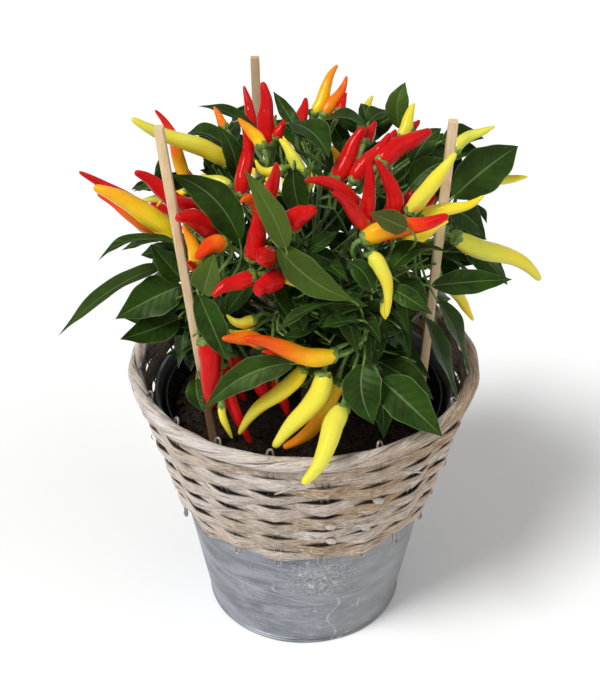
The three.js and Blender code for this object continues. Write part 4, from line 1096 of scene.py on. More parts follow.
SMALL_LEAVES = {
    "leafy_shoot_back": (
        Leaf((15, 44, 267), (7, 42, 296), 11, (0, 1, 3), tone=0.1),
        Leaf((2, 44, 247), (29, 42, 280), 21, (-1, 3, 0), tone=0.05),
        Leaf((14, 44, 256), (42, 48, 236), 16, (-1, 3, 0), tone=0.05),
        Leaf((-1, 44, 252), (4, 49, 286), 16, (0, 1, 3), tone=0.2),
    ),
    "leafy_shoot_back_right": (
        Leaf((66, 44, 239), (78, 45, 223), 7, (1, 2, 1), tone=0),
        Leaf((63, 44, 287), (65, 50, 324), 18, (1, 2, 1), tone=0),
        Leaf((28, 44, 259), (14, 44, 291), 16, (0, 1, 3), tone=0.1),
        Leaf((48, 44, 273), (42, 45, 308), 14, (0, 2, 2), tone=0.05),
        Leaf((52, 44, 246), (81, 42, 232), 15, (-1, 3, 0), tone=0.2),
    ),
    "leafy_shoot_back_top": (
        Leaf((34, 30, 336), (16, 31, 346), 10, (1, 2, 1), tone=0),
        Leaf((38, 16, 348), (34, 28, 356), 8, (0, 0, 1)),
        Leaf((34, 30, 330), (59, 29, 348), 15, (0, 1, 3), tone=0.2),
        Leaf((17, 44, 305), (-11, 48, 324), 16, (1, 2, 1), tone=0.2),
        Leaf((27, 30, 321), (12, 31, 347), 13, (0, 2, 2), tone=0.1),
        Leaf((-9, 44, 297), (-27, 48, 329), 16, (1, 2, 1), tone=0.05),
        Leaf((10, 30, 323), (-20, 32, 343), 17, (1, 2, 1), tone=0.2),
        Leaf((-30, 44, 305), (-44, 43, 330), 11, (0, 1, 3), tone=0.1),
    ),
    "leafy_shoot_front": (
        Leaf((1, -70, 309), (19, -66, 320), 8, (0, -1, 1)),
    ),
    "leafy_shoot_left": (
        Leaf((-92, 12, 306), (-106, 14, 305), 6, (0, 2, 2), tone=0),
        Leaf((-83, -36, 298), (-107, -40, 293), 8, (0, 0, 1), Facing.UP),
        Leaf((-86, -20, 292), (-106, -14, 300), 8, (0, 0, 1)),
        Leaf((-79, -10, 223), (-115, -10, 228), 15, (1, 2, 1), tone=0.2),
        Leaf((-64, 12, 299), (-85, 10, 318), 14, (0, 2, 2), tone=0.1),
    ),
    "leafy_shoot_right": (
        Leaf((79, -6, 257), (97, -5, 260), 9, (0, 2, 2), tone=0.1),
        Leaf((68, -6, 271), (105, -6, 264), 17, (1, 2, 1), tone=0.2),
        Leaf((97, -6, 279), (127, -4, 248), 16, (1, 2, 1), tone=0),
        Leaf((83, 10, 298), (94, 13, 333), 16, (0, 2, 2), tone=0.2),
        Leaf((80, 10, 284), (114, 11, 272), 15, (1, 2, 1), tone=0.05),
    ),
    "leafy_shoot_right_top": (
        Leaf((70, 10, 320), (83, 14, 343), 14, (0, 2, 2), tone=0.1),
        Leaf((74, 10, 333), (105, 10, 333), 16, (1, 2, 1), tone=0),
        Leaf((81, 10, 339), (107, 10, 341), 13, (0, 1, 3), tone=0.2),
    ),
    "leafy_shoot_upper_left": (
        Leaf((-56, 12, 313), (-60, 9, 328), 6, (0, 1, 3), tone=0),
        Leaf((-44, 30, 343), (-32, 29, 354), 6, (1, 2, 1), tone=0.2),
        Leaf((-46, 12, 313), (-63, 14, 342), 16, (0, 1, 3), tone=0.1),
        Leaf((-29, 12, 308), (-63, 9, 321), 14, (-1, 3, 0), tone=0.2),
    ),
}


class Ripeness(Enum):
    """How ripe a hidden crown's chillies are, at their base and tip."""

    RED = (0.97, 1.0)
    YELLOW = (0.3, 0.42)


@dataclass(frozen=True)
class Crown:
    """A hidden shoot at the back, whose leaves and chillies fan out by the golden angle."""

    place: str
    turn: float
    ripeness: Ripeness
    branch: tuple[Triple, Triple, Triple]
    pods: int
    pod_rise: float = 0.5
    stalk: float = 12.0
    pod_length: float = 46.0
    pod_width: float = 11.0
    petiole: float = 16.0
    leaves: int = 5
    leaf_length: float = 44.0
    leaf_width: float = 20.0

    def axis(self, rise: float = 1.0) -> Vector:
        """Returns the way the crown grows, steeper for a larger rise."""
        end = self.branch[2]
        return (Vector((end[0], end[1], 0)).normalized() + UP * rise).normalized()

    def fanned(self, turn: float, tilt: float, rise: float = 1.0) -> Vector:
        """Tilts a direction from the axis and turns it round it.

        Args:
            turn: The turn, in radians.
            tilt: The tilt, in radians.
            rise: How steeply the axis rises.

        Returns:
            The direction.
        """
        axis = self.axis(rise)
        side = axis.cross(UP).normalized()
        return Quaternion(axis, turn) @ (Quaternion(side, tilt) @ axis)

    def bunch(self) -> Bunch:
        """Fans out the crown's chillies.

        Returns:
            The bunch.
        """
        knot = Vector(self.branch[2]) + self.axis(self.pod_rise) * self.stalk
        pods = []
        for index in range(self.pods):
            direction = self.fanned(index * GOLDEN_ANGLE, 0.35 + 0.12 * index, self.pod_rise)
            base = knot + direction * self.stalk
            tip = base + direction * (self.pod_length - 5 * index)
            bow = tuple(direction.cross(UP) * 2)
            pods.append(Pod(tuple(base), tuple(tip), self.pod_width - 0.6 * index, bow, *self.ripeness.value))
        colour = self.ripeness.name.lower()
        return Bunch(f"chillies_{colour}_{self.place}", f"leafy_shoot_{self.place}", tuple(knot), tuple(pods))

    def shoot(self) -> Shoot:
        """Fans out the crown's leaves.

        Returns:
            The branch with its leaves.
        """
        first, second, third = (Vector(point) for point in self.branch)
        leaves = []
        for index in range(self.leaves):
            share = 0.35 + 0.65 * (index / (self.leaves - 1))
            joint = first.lerp(second, share * 2) if share < 0.5 else second.lerp(third, share * 2 - 1)
            direction = self.fanned(self.turn + (index + 0.5) * GOLDEN_ANGLE, 1.05 + 0.1 * (index % 3))
            base = joint + direction * self.petiole
            tip = base + direction * (self.leaf_length - 2 * index) - UP * 8
            leaves.append(Leaf(tuple(base), tuple(tip), self.leaf_width - index, (0, 0, 4), tuple(self.axis())))
        return Shoot(f"leafy_shoot_{self.place}", self.branch, tuple(leaves))


@dataclass(frozen=True)
class Foliage:
    """Lays leaves and their petioles on a shoot's skin."""

    thickness: float = 0.34
    fold: float = 0.3
    wave: float = 1.1
    ripple: float = 0.035
    quilt: float = 0.011
    rib: float = 0.9
    petiole: float = 0.8

    def half_width(self, leaf: Leaf, along: float) -> float:
        """Returns half the blade's width at a share of its length."""
        return leaf.width / 2 * 3.58 * along ** 0.75 * (1 - along) ** 1.15

    def blade(self, skin: Skin, leaf: Leaf, across: int, along: int) -> None:
        """Lays a closed blade, folded along its midrib, waved at its edges and quilted between its veins.

        Args:
            skin: The shoot's skin.
            leaf: The leaf.
            across: Cells across each of its two sides.
            along: Cells along it.
        """
        curve = leaf.curve()
        side = (Vector(leaf.tip) - Vector(leaf.base)).cross(leaf.upper()).normalized()
        phase = leaf.tip[0] * 0.37 + leaf.tip[2] * 0.23
        rows = []
        for row in range(along + 1):
            share = row / along
            tangent = curve.tangent(share)
            normal = side.cross(tangent).normalized()
            rows.append((curve.at(share), normal, self.half_width(leaf, share)))

        def place(u: float, w: float) -> Spot:
            """Places a corner of the blade's grid.

            Args:
                u: Share of the way round the blade's section.
                w: Share of the way along it.

            Returns:
                Its point and tone.
            """
            layer = 1 if u < 0.501 else -1
            v = 4 * u - 1 if layer > 0 else 3 - 4 * u
            middle, normal, half = rows[round(w * along)]
            size = min(1.0, half / 4)
            uneven = 1 + self.ripple * math.sin(21 * w + phase + v) * size
            lift = self.fold * half * abs(v) ** 1.35
            lift += self.wave * math.sin(9 * w + 1.7 * math.copysign(1, v)) * v * v * size
            slant = math.sin(math.pi * (VEINS * w - VEIN_SLANT * abs(v) ** VEIN_CURVE)) ** 2
            lift += self.quilt * half * slant * (1 - v * v) * min(1.0, abs(v) * 4)
            rib = math.exp(-((v * half / self.rib) ** 2)) * size
            thick = self.thickness * math.sqrt(max(0.0, 1 - v ** 4)) * min(1.0, half / 1.2)
            lift += thick - 0.3 * rib if layer > 0 else -thick - 0.5 * rib
            return middle + side * (v * half * uneven) + normal * lift, leaf.tone

        skin.sheet(4 * across, along, place)

    def stalk(self, skin: Skin, leaf: Leaf, root: Vector, around: int, steps: int) -> None:
        """Lays the petiole from the branch into the blade's base.

        Args:
            skin: The shoot's skin.
            leaf: The leaf.
            root: Where it grows from the branch.
            around: Cells round it.
            steps: Cells along it.
        """
        curve = leaf.curve()
        reach = (curve.start - root).length
        path = Curve(root, curve.start - curve.tangent(0) * reach * 0.4, curve.at(0.04))
        skin.tube(path.points(steps), taper(self.petiole * 1.15, self.petiole * 0.75, steps), around, YOUNG, STEM)


@dataclass(frozen=True)
class Filling:
    """The small leaves inside the bush, on thin sprays that grow from the shoots' branches."""

    seed: int = 11
    centre: Triple = (0, 0, 235)
    reach: Triple = (116, 106, 131)
    outer: float = 0.88
    leaf_outer: float = 0.95
    floor: float = 203.0
    leaf_floor: float = 196.0
    rim: float = 84.0
    mouth: float = 60.0
    shortest: float = 12.0
    shortest_drawn: float = 28.0
    longest: float = 62.0
    sprays: int = 30
    per_spray: int = 6
    whole: float = 6.28
    tones: tuple[float, ...] = (0.0, 0.1, 0.2, 0.3, 0.35, 0.45)

    def depth(self, point: Vector) -> float:
        """Returns how far out a point lies, 1 being the bush's outline."""
        parts = ((place - middle) / reach for place, middle, reach in zip(point, self.centre, self.reach))
        return math.sqrt(sum(part ** 2 for part in parts))

    def clear(self, point: Vector, room: float, guards: Sequence[Spot]) -> bool:
        """Tells whether a point neither touches nor hides a guarded spot.

        Args:
            point: The point.
            room: How far from it the leaf reaches.
            guards: Spots to keep clear, with their sizes.

        Returns:
            Whether it is clear.
        """
        for spot, size in guards:
            apart = point - spot
            if apart.length < size + room * 0.6:
                return False
            view = (CAMERA_SPOT - spot).normalized()
            ahead = apart.dot(view)
            if ahead > 0 and (apart - view * ahead).length < size + room:
                return False
        return True

    def pierces(self, leaf: Leaf, bodies: Sequence[Spot]) -> bool:
        """Tells whether a leaf's blade runs through a chilli.

        Args:
            leaf: The leaf.
            bodies: Spots inside the chillies, with their radii.

        Returns:
            Whether it does.
        """
        curve = leaf.curve()
        along = curve.end - curve.start
        side = along.cross(leaf.upper()).normalized() * leaf.width * 0.42
        near = [body for body in bodies if (body[0] - curve.at(0.5)).length < along.length * 0.6 + body[1] + 2]
        for step in range(-3, 11):
            for across in (-1, 0, 1):
                point = curve.at(step / 10) + side * across * (1 if 2 < step < 7 else 0.4 if step > 0 else 0)
                if any((point - spot).length < size + 0.5 for spot, size in near):
                    return True
        return False

    def grow(self, shoot: Shoot, guards: Sequence[Spot], bodies: Sequence[Spot],
             draw: random.Random) -> list[tuple[Curve, list[Leaf]]]:
        """Draws a shoot's sprays.

        Args:
            shoot: The shoot they grow from.
            guards: Spots to keep clear.
            bodies: Spots inside the chillies, with their radii.
            draw: The seeded source of random numbers.

        Returns:
            Each spray's stem and leaves.
        """
        path = shoot.path()
        centre = Vector(self.centre)
        grown = []
        for _ in range(self.sprays):
            start = path.at(draw.uniform(0.1, 0.95))
            stray = Vector((draw.uniform(-1, 1), draw.uniform(-1, 1), draw.uniform(-0.75, 0.8)))
            out = ((start - centre).normalized() * 0.75 + stray).normalized()
            length = draw.uniform(self.shortest_drawn, self.longest)
            while length > self.shortest and self.depth(start + out * length) > self.outer:
                length -= 4
            end = start + out * length
            if length <= self.shortest or (end.z < self.floor and end.xy.length > self.mouth):
                continue
            stem = Curve(start, (start + end) / 2 + UP * draw.uniform(-4, 6), end)
            leaves = []
            turn = draw.uniform(0, self.whole)
            for index in range(self.per_spray):
                share = 0.3 + 0.7 * index / (self.per_spray - 1)
                leaf = self.leaf(stem, share, turn + index * GOLDEN_ANGLE, draw)
                spots = leaf.curve()
                checks = [spots.at(0.2), spots.at(0.6), spots.at(1.0)]
                inside = all(self.depth(spot) < self.leaf_outer and spot.z > self.leaf_floor for spot in checks)
                inside = inside and not self.pierces(leaf, bodies)
                low = any(spot.z < self.floor and spot.xy.length > self.rim for spot in checks)
                if inside and not low and all(self.clear(spot, leaf.width * 0.42, guards) for spot in checks):
                    leaves.append(leaf)
            if leaves:
                grown.append((stem, leaves))
        return grown

    def leaf(self, stem: Curve, share: float, turn: float, draw: random.Random) -> Leaf:
        """Draws one leaf of a spray.

        Args:
            stem: The spray's stem.
            share: Where on the stem it grows.
            turn: Which way round the stem, in radians.
            draw: The seeded source of random numbers.

        Returns:
            The leaf.
        """
        joint, axis = stem.at(share), stem.tangent(share)
        away = Quaternion(axis, turn) @ beside(axis)
        direction = (away * draw.uniform(0.75, 1.0) + axis * draw.uniform(0.3, 0.8)).normalized()
        direction.z -= draw.uniform(0.05, 0.4)
        direction.normalize()
        length = draw.uniform(25, 44)
        base = joint + direction * draw.uniform(5, 9)
        tip = base + direction * length
        outward = (joint - Vector(self.centre)).normalized()
        upper = (UP * 0.8 + outward * 0.7 + Vector((draw.uniform(-0.4, 0.4), draw.uniform(-0.4, 0.4), 0))).normalized()
        bow = upper * draw.uniform(1.0, 4.5)
        tone = draw.choice(self.tones)
        return Leaf(tuple(base), tuple(tip), length * draw.uniform(0.36, 0.48), tuple(bow), tuple(upper), tone)


@dataclass(frozen=True)
class Plant:
    """The trunk, its shoots and their bunches."""

    foot: Triple = (0, 3, 112)
    fork: Triple = (2, 0, 206)
    trunk_radius: float = 5.2
    fork_radius: float = 3.6
    limb_radius: float = 2.3
    branch_radius: float = 1.9
    branch_tip: float = 1.4
    stalk: float = 1.3
    knot: float = 2.5
    neck: float = 0.66
    shoulder: float = 0.2
    widest: float = 0.22
    tip: float = 0.94
    sway: float = 0.034
    cap: float = 0.3
    cap_edge: float = 0.65
    twigs: tuple = (
        (((16, -22, 216), (36, -50, 226), (69.7, -44, 253.3)), 1.7),
        (((-4, -12, 204), (-14, -40, 216), (-20, -56, 240)), 1.5),
    )
    foliage: Foliage = Foliage()
    filling: Filling = Filling()

    def build(self, shoots: Sequence[Shoot], bunches: Sequence[Bunch]) -> None:
        """Builds every growing piece.

        Args:
            shoots: All shoots.
            bunches: All bunches.
        """
        stem = StemFinish().dress()
        leaf = LeafFinish().dress()
        pod_skin = ChilliFinish().dress()
        self.trunk(shoots, stem)
        draw = random.Random(self.filling.seed)
        guards = self.guards(shoots, bunches)
        bodies = self.spots(bunches, 14)
        for shoot in shoots:
            knots = [Vector(bunch.knot) for bunch in bunches if bunch.on == shoot.name]
            self.shoot(shoot, knots, self.filling.grow(shoot, guards, bodies, draw), (leaf, stem))
        for bunch in bunches:
            self.bunch(bunch, (pod_skin, stem))

    def guards(self, shoots: Sequence[Shoot], bunches: Sequence[Bunch]) -> list[Spot]:
        """Lists the spots that the filling keeps clear: pods, large leaves and sticks.

        Args:
            shoots: All shoots.
            bunches: All bunches.

        Returns:
            Each spot with its size.
        """
        spots = self.spots(bunches, 5)
        for shoot in shoots:
            for leaf in shoot.leaves:
                curve = leaf.curve()
                spots += [(curve.at(share), leaf.width * 0.1) for share in (0.25, 0.5, 0.75)]
        for stick in STICKS:
            low, high = Vector(stick.foot), Vector(stick.top)
            spots += [(low.lerp(high, step / 24), 2.0) for step in range(10, 25)]
        return spots

    def spots(self, bunches: Sequence[Bunch], steps: int) -> list[Spot]:
        """Lists spots inside the chillies.

        Args:
            bunches: All bunches.
            steps: Steps along each chilli.

        Returns:
            Each spot with the chilli's radius.
        """
        found = []
        for bunch in bunches:
            for pod in bunch.pods:
                curve = pod.curve()
                found += [(curve.at(step / steps), pod.width / 2) for step in range(steps + 1)]
        return found

    def knobs(self, turn: float, share: float) -> float:
        """Returns the factor that makes the bark uneven."""
        return 1 + 0.05 * math.sin(3 * turn + 9 * share) + 0.05 * math.sin(31 * share)

    def trunk(self, shoots: Sequence[Shoot], stem: Material) -> None:
        """Builds the trunk with a limb for each shoot.

        Args:
            shoots: All shoots.
            stem: The stem's material.
        """
        skin = Skin("trunk_and_limbs", [stem])
        foot, fork = Vector(self.foot), Vector(self.fork)
        bend = foot.lerp(fork, 0.55) + Vector((3, -2, 0))
        skin.tube(Curve(foot, bend, fork).points(24), taper(self.trunk_radius, self.fork_radius, 24), 16, 0.95, 0,
                  self.knobs)
        for shoot in shoots:
            end, onward = Vector(shoot.branch[0]), Vector(shoot.branch[1])
            start = foot.lerp(fork, 0.86)
            middle = end - (onward - end).normalized() * 0.4 * (end - start).length
            skin.tube(Curve(start, middle, end).points(14), taper(self.fork_radius * 0.8, self.limb_radius, 14), 10,
                      taper(0.8, 0.35, 14), 0, self.knobs)
        for path, thick in self.twigs:
            skin.tube(Curve.through(path).points(10), taper(thick, thick * 0.75, 10), 8, 0.9, 0, self.knobs)
        skin.piece("stem", ["main_stem"])

    def shoot(self, shoot: Shoot, knots: Sequence[Vector], sprays: Sequence[tuple[Curve, list[Leaf]]],
              materials: Sequence[Material]) -> None:
        """Builds one leafy shoot.

        Args:
            shoot: The shoot.
            knots: Where its bunches hang on.
            sprays: Its small sprays.
            materials: Leaf and stem.
        """
        skin = Skin(shoot.name.replace("leafy_shoot", "foliage"), materials)
        path = shoot.path()
        skin.tube(path.points(16), taper(self.branch_radius, self.branch_tip, 16), 10, taper(0.45, YOUNG, 16), STEM)
        for knot in knots:
            root = path.nearest(knot)
            middle = (root + knot) / 2 + UP * 2
            skin.tube(Curve(root, middle, knot).points(8), [self.branch_tip * 0.9] * 9, 8, YOUNG, STEM)
        for leaf in (*shoot.leaves, *SMALL_LEAVES.get(shoot.name, ())):
            self.foliage.blade(skin, leaf, 6, 30)
            self.foliage.stalk(skin, leaf, path.nearest(Vector(leaf.base)), 7, 8)
        for stem, leaves in sprays:
            skin.tube(stem.points(6), taper(1.0, 0.6, 6), 6, YOUNG, STEM)
            for leaf in leaves:
                self.foliage.blade(skin, leaf, 2, 7)
                self.foliage.stalk(skin, leaf, stem.nearest(Vector(leaf.base), 10), 4, 2)
        skin.piece("foliage", [shoot.name])

    def bunch(self, bunch: Bunch, materials: Sequence[Material]) -> None:
        """Builds one bunch.

        Args:
            bunch: The bunch.
            materials: Chilli skin and stem.
        """
        skin = Skin(bunch.name.replace("chillies", "pods").replace("chilli", "pod"), materials)
        knot = Vector(bunch.knot)
        skin.lump(knot, self.knot, 2, YOUNG, STEM, 0.2)
        for pod in bunch.pods:
            self.pod(skin, pod, knot)
        colour = next(name for name in ("red", "orange", "yellow") if name in bunch.name)
        skin.piece(f"chilli_{colour}", [bunch.name])

    def pod(self, skin: Skin, pod: Pod, knot: Vector) -> None:
        """Builds one chilli with its stalk and calyx.

        Args:
            skin: The bunch's skin.
            pod: The chilli.
            knot: Where its stalk starts.
        """
        curve = pod.curve()
        half = pod.width / 2
        phase = pod.tip[0] * 0.31 + pod.tip[2] * 0.17
        blunt = mix(0.2, 0.34, smooth(pod.width, 7.5, 12))
        steps = 34
        shares = [0.35 * share + 0.65 * (0.5 - 0.5 * math.cos(math.pi * share)) for share in taper(0, 1, steps)]

        def girth(share: float) -> float:
            """Gives the pod's radius.

            Args:
                share: Share of its length.

            Returns:
                The radius there.
            """
            shoulder = math.sin(min(1.0, share / self.shoulder) * math.pi / 2)
            thinned = max(0, (share - self.widest) / (1 - self.widest)) ** 1.8
            body = mix(self.neck, 1, shoulder) * mix(1, blunt, thinned)
            tip = max(0.0, share - self.tip) / (1 - self.tip)
            end = math.sqrt(max(0.0, 1 - tip ** 2))
            return half * body * (0.25 + 0.75 * end if share < 0.999 else 0.0)

        def lumps(turn: float, share: float) -> float:
            """Makes the pod's skin uneven.

            Args:
                turn: Angle round the pod.
                share: Share of its steps.

            Returns:
                A factor on the radius.
            """
            along = shares[round(share * steps)]
            ridges = 0.022 * math.sin(3 * turn + phase + 4 * along) + 0.012 * math.sin(5 * turn - 2 * phase)
            waves = 0.03 * math.sin(17 * along + phase + 1.3 * math.sin(turn)) * smooth(along, 0.03, 0.25)
            return 1 + ridges + waves

        ripe = [mix(pod.ripe_base, pod.ripe_tip, smooth(share, 0.05, 0.95)) for share in shares]
        aside = (curve.end - curve.start).cross(CAMERA_SPOT - curve.start).normalized()
        sway = self.sway * (curve.end - curve.start).length * math.sin(2.7 * phase)
        middle = [curve.at(share) + aside * sway * math.sin(FULL_TURN * share) for share in shares]
        skin.tube(middle, [girth(share) for share in shares], 18, ripe, 0, lumps)
        reach = (curve.start - knot).length
        lead = curve.start - curve.tangent(0) * reach * 0.5
        path = Curve(knot, lead, curve.at(0.01))
        radii = [self.stalk * (0.85 + 0.6 * (step / 8) ** 4) for step in range(9)]
        skin.tube(path.points(8), radii, 8, YOUNG, STEM)
        self.calyx(skin, curve, girth, phase)

    def calyx(self, skin: Skin, curve: Curve, girth: Callable[[float], float], phase: float) -> None:
        """Builds the green cap with its five shallow lobes, closed inside the pod.

        Args:
            skin: The bunch's skin.
            curve: The pod's middle line.
            girth: The pod's radius at a share of its length.
            phase: Turns the lobes.
        """
        length = (curve.end - curve.start).length
        tangent = curve.tangent(0)
        side = beside(tangent)
        other = tangent.cross(side)

        def place(u: float, w: float) -> Spot:
            """Places a corner of the calyx's grid.

            Args:
                u: Share of the way round the stalk.
                w: Share of the way out over the cap and back inside.

            Returns:
                Its point and tone.
            """
            turn = FULL_TURN * u
            edge = (2.8 + 1.0 * math.cos(5 * turn + phase)) / length
            share, drop = 0.0, 0.0
            if w < self.cap:
                out = w / self.cap
                radius = (girth(0) * 1.04 + 0.55) * out
                drop = 1.4 * (1 - out ** 2)
            elif w < self.cap_edge:
                out = (w - self.cap) / (self.cap_edge - self.cap)
                share = edge * out
                radius = girth(share) * 1.04 + 0.55 * (1 - out) ** 0.7 + 0.1
            else:
                out = (w - self.cap_edge) / (1 - self.cap_edge)
                share = edge * (1 - out)
                radius = (girth(share) - 0.4) * (1 - out)
            point = curve.at(share) + (side * math.cos(turn) + other * math.sin(turn)) * radius
            return point - tangent * drop, YOUNG

        skin.sheet(20, 12, place, STEM)


# The pot -------------------------------------------------------------------

@dataclass(frozen=True)
class Bucket:
    """The galvanised bucket: a flaring sheet shell with a base bead and a rolled lip."""

    base_radius: float = 66.6
    lip_radius: float = 97.0
    height: float = 173.0
    wall: float = 1.2
    floor: float = 1.4
    bead: float = 1.1

    def radius(self, height: float) -> float:
        """Returns the wall's outer radius at a height."""
        return mix(self.base_radius, self.lip_radius, height / self.height)

    def build(self) -> None:
        """Builds the bucket."""
        outer = [(self.radius(height), height) for height in (5.2, 6.5, *range(12, 168, 8), 168.5)]
        inner = [(self.radius(height) - self.wall, height) for height in (168, *range(160, 8, -8), 6, 3.5)]
        foot = arc(self.base_radius, 1.15, self.bead, -90, 80, 6)
        ridge = arc(self.radius(4.0) - 0.1, 4.0, 0.7, -70, 70, 4)
        roll = arc(self.lip_radius - 0.2, 171.2, 1.3, -60, 200, 10)
        profile = [(0, 0.05), (58, 0.05), *foot, *ridge, *outer, *roll, *inner, (60, self.floor), (0, self.floor)]
        skin = spun("bucket_shell", profile, 144)
        for vert in skin.bm.verts:
            reach = Vector((vert.co.x, vert.co.y))
            if reach.length > 0.06:
                dent = noise.noise(vert.co * 22) * 0.5 + noise.noise(vert.co * 60) * 0.12
                vert.co.xy += reach.normalized() * dent * MM
        skin.materials = [ZincFinish().dress()]
        skin.piece("zinc", ["zinc_bucket"], 35)


@dataclass(frozen=True)
class WillowBand:
    """The woven band: rows of split willow that pass before and behind twenty wire stakes."""

    bottom: float = 92.5
    top: float = 181.0
    outer_bottom: float = 87.4
    outer_top: float = 111.4
    inner_bottom: float = 83.5
    inner_top: float = 103.2
    rows: int = 12
    strand: float = 9.3
    split: float = 1.9
    sharp: float = 0.985
    play: float = 0.92
    calm: float = 0.6
    spread: float = 0.3
    spread_top: float = 0.04
    taller: float = 1.12
    crown: float = 0.35
    loose: int = 22
    seed: int = 5
    splinters: tuple[tuple[Triple, Triple], ...] = (
        ((56.2, -100.3, 176.5), (74.5, -81.5, 160.8)),
        ((-17.6, -110.6, 167.7), (-2.5, -113.4, 177.0)),
        ((-60.0, -80.5, 131.0), (-44.0, -90.5, 138.0)),
    )
    knots: tuple[Triple, ...] = ((45.1, -92.4, 148.0), (15.9, -97.0, 131.1), (16.7, -92.8, 115.8), (38.0, -86.0, 121.0))

    def edge(self, height: float) -> tuple[float, float]:
        """Returns the inner and outer radius at a height."""
        share = (height - self.bottom) / (self.top - self.bottom)
        return mix(self.inner_bottom, self.inner_top, share), mix(self.outer_bottom, self.outer_top, share)

    def build(self, willow: Material) -> None:
        """Builds all rows as one piece.

        Args:
            willow: The strands' material.
        """
        draw = random.Random(self.seed)
        skin = Skin("woven_willow", [willow])
        for row in range(self.rows):
            self.strand_row(skin, row, draw)
        self.fibres(skin, draw)
        skin.piece("willow", ["willow_band"])

    def strand_row(self, skin: Skin, row: int, draw: random.Random) -> None:
        """Lays one row's strand round the band.

        Args:
            skin: The band's skin.
            row: Which row, from the bottom.
            draw: The seeded source of random numbers.
        """
        pitch = (self.top - self.bottom) / self.rows
        level = self.bottom + (row + 0.5) * pitch
        slope = math.atan2(self.outer_top - self.outer_bottom, self.top - self.bottom)
        ranges = ((-0.75, 0.75), (-0.2, 0.2), (0.9, 1.06), (0.0, 1.0), (-0.5, 1.0))
        lifts, tips, broad, shades, pushes = (
            [draw.uniform(low, high) for _ in range(STAKES)] for low, high in ranges)
        if row == 0:
            lifts = [abs(lift) for lift in lifts]

        def place(u: float, w: float) -> Spot:
            """Places a corner of the strand's grid.

            Args:
                u: Share of the way round the strand's section.
                w: Share of the way round the band.

            Returns:
                Its point and tone.
            """
            angle = FULL_TURN * w
            turn = (angle / (FULL_TURN) * STAKES) % STAKES
            stake, part = int(turn), turn % 1.0
            after = (stake + 1) % STAKES
            weave = math.asin(self.sharp * math.cos(math.pi * (turn + row))) / math.asin(self.sharp)
            inner, outer = self.edge(level)
            full = (outer - inner - self.split) / 2 * self.play
            reach = full * mix(1.0, self.calm, smooth(level, 150, 166))
            radius = (inner + outer) / 2 + weave * reach + (full - reach) * 0.5
            radius += mix(pushes[stake], pushes[after], part) * max(0.0, weave)
            radius *= 1 - (1 / math.cos(math.pi / STAKES) - 1) * math.sin(math.pi * part) ** 2
            lift = mix(lifts[stake], lifts[after], smooth(part, 0, 1))
            lean = slope + mix(tips[stake], tips[after], part)
            spread = mix(self.spread, self.spread_top, smooth(level, 158, 170))
            tall = self.strand * mix(broad[stake], broad[after], part) * (1 + spread * weave)
            tall *= mix(1.0, self.taller, smooth(level, 160, 170))
            out_way = ray(angle + STAKE_TURN)
            up = out_way * math.sin(lean) + UP * math.cos(lean)
            out = out_way * math.cos(lean) - UP * math.sin(lean)
            phi = FULL_TURN * u
            high = swell(math.cos(phi), 0.75) * tall / 2
            deep = swell(math.sin(phi), 0.6) * self.split / 2
            deep += self.crown * (1 - (2 * high / tall) ** 2)
            owner = int((turn + row % 2 + 1) // 2) % (STAKES // 2)
            # the left gets a low tone, paler, the right a high tone, browner and darker: partly the willow's own tan,
            # partly painted shade away from the key light
            lit_pale_west = smooth(-out_way.x, -0.8, 0.8)
            tone = shades[owner * 2 % STAKES] * mix(0.62, 0.45, lit_pale_west) + 0.40 * (1 - lit_pale_west)
            return out_way * radius + UP * (level + lift) + up * high + out * deep, tone

        skin.sheet(12, 12 * STAKES, place)

    def fibres(self, skin: Skin, draw: random.Random) -> None:
        """Adds splinters and short knobs that stand off the strands.

        Args:
            skin: The band's skin.
            draw: The seeded source of random numbers.
        """
        for _ in range(self.loose):
            height = draw.uniform(100, 176)
            angle = draw.uniform(0, FULL_TURN)
            radius = self.edge(height)[1] + 0.2
            length = draw.uniform(7, 20)
            points = []
            for step in range(7):
                share = step / 6
                off = radius + 0.9 * math.sin(math.pi * share)
                rise = 2.2 * share * draw.uniform(0.6, 1)
                points.append(ray(angle + share * length / radius) * off + UP * (height + rise))
            skin.tube(points, [0.12, 0.3, 0.4, 0.42, 0.35, 0.22, 0.1], 5, draw.uniform(0, 0.3))
        for start, end in self.splinters:
            middle = (Vector(start) + Vector(end)) / 2 * 1.008
            skin.tube(Curve(Vector(start), middle, Vector(end)).points(8),
                      [0.3, 0.7, 0.85, 0.9, 0.8, 0.75, 0.65, 0.45, 0.2], 6, 0.0)
        for knot in self.knots:
            middle = Vector(knot)
            points = [middle + Vector((1, 0.3, -0.4)) * (1.3 * step - 3.2) for step in range(6)]
            skin.tube(points, [0.8, 2.0, 2.5, 2.2, 2.3, 1.0], 9, 0.0)


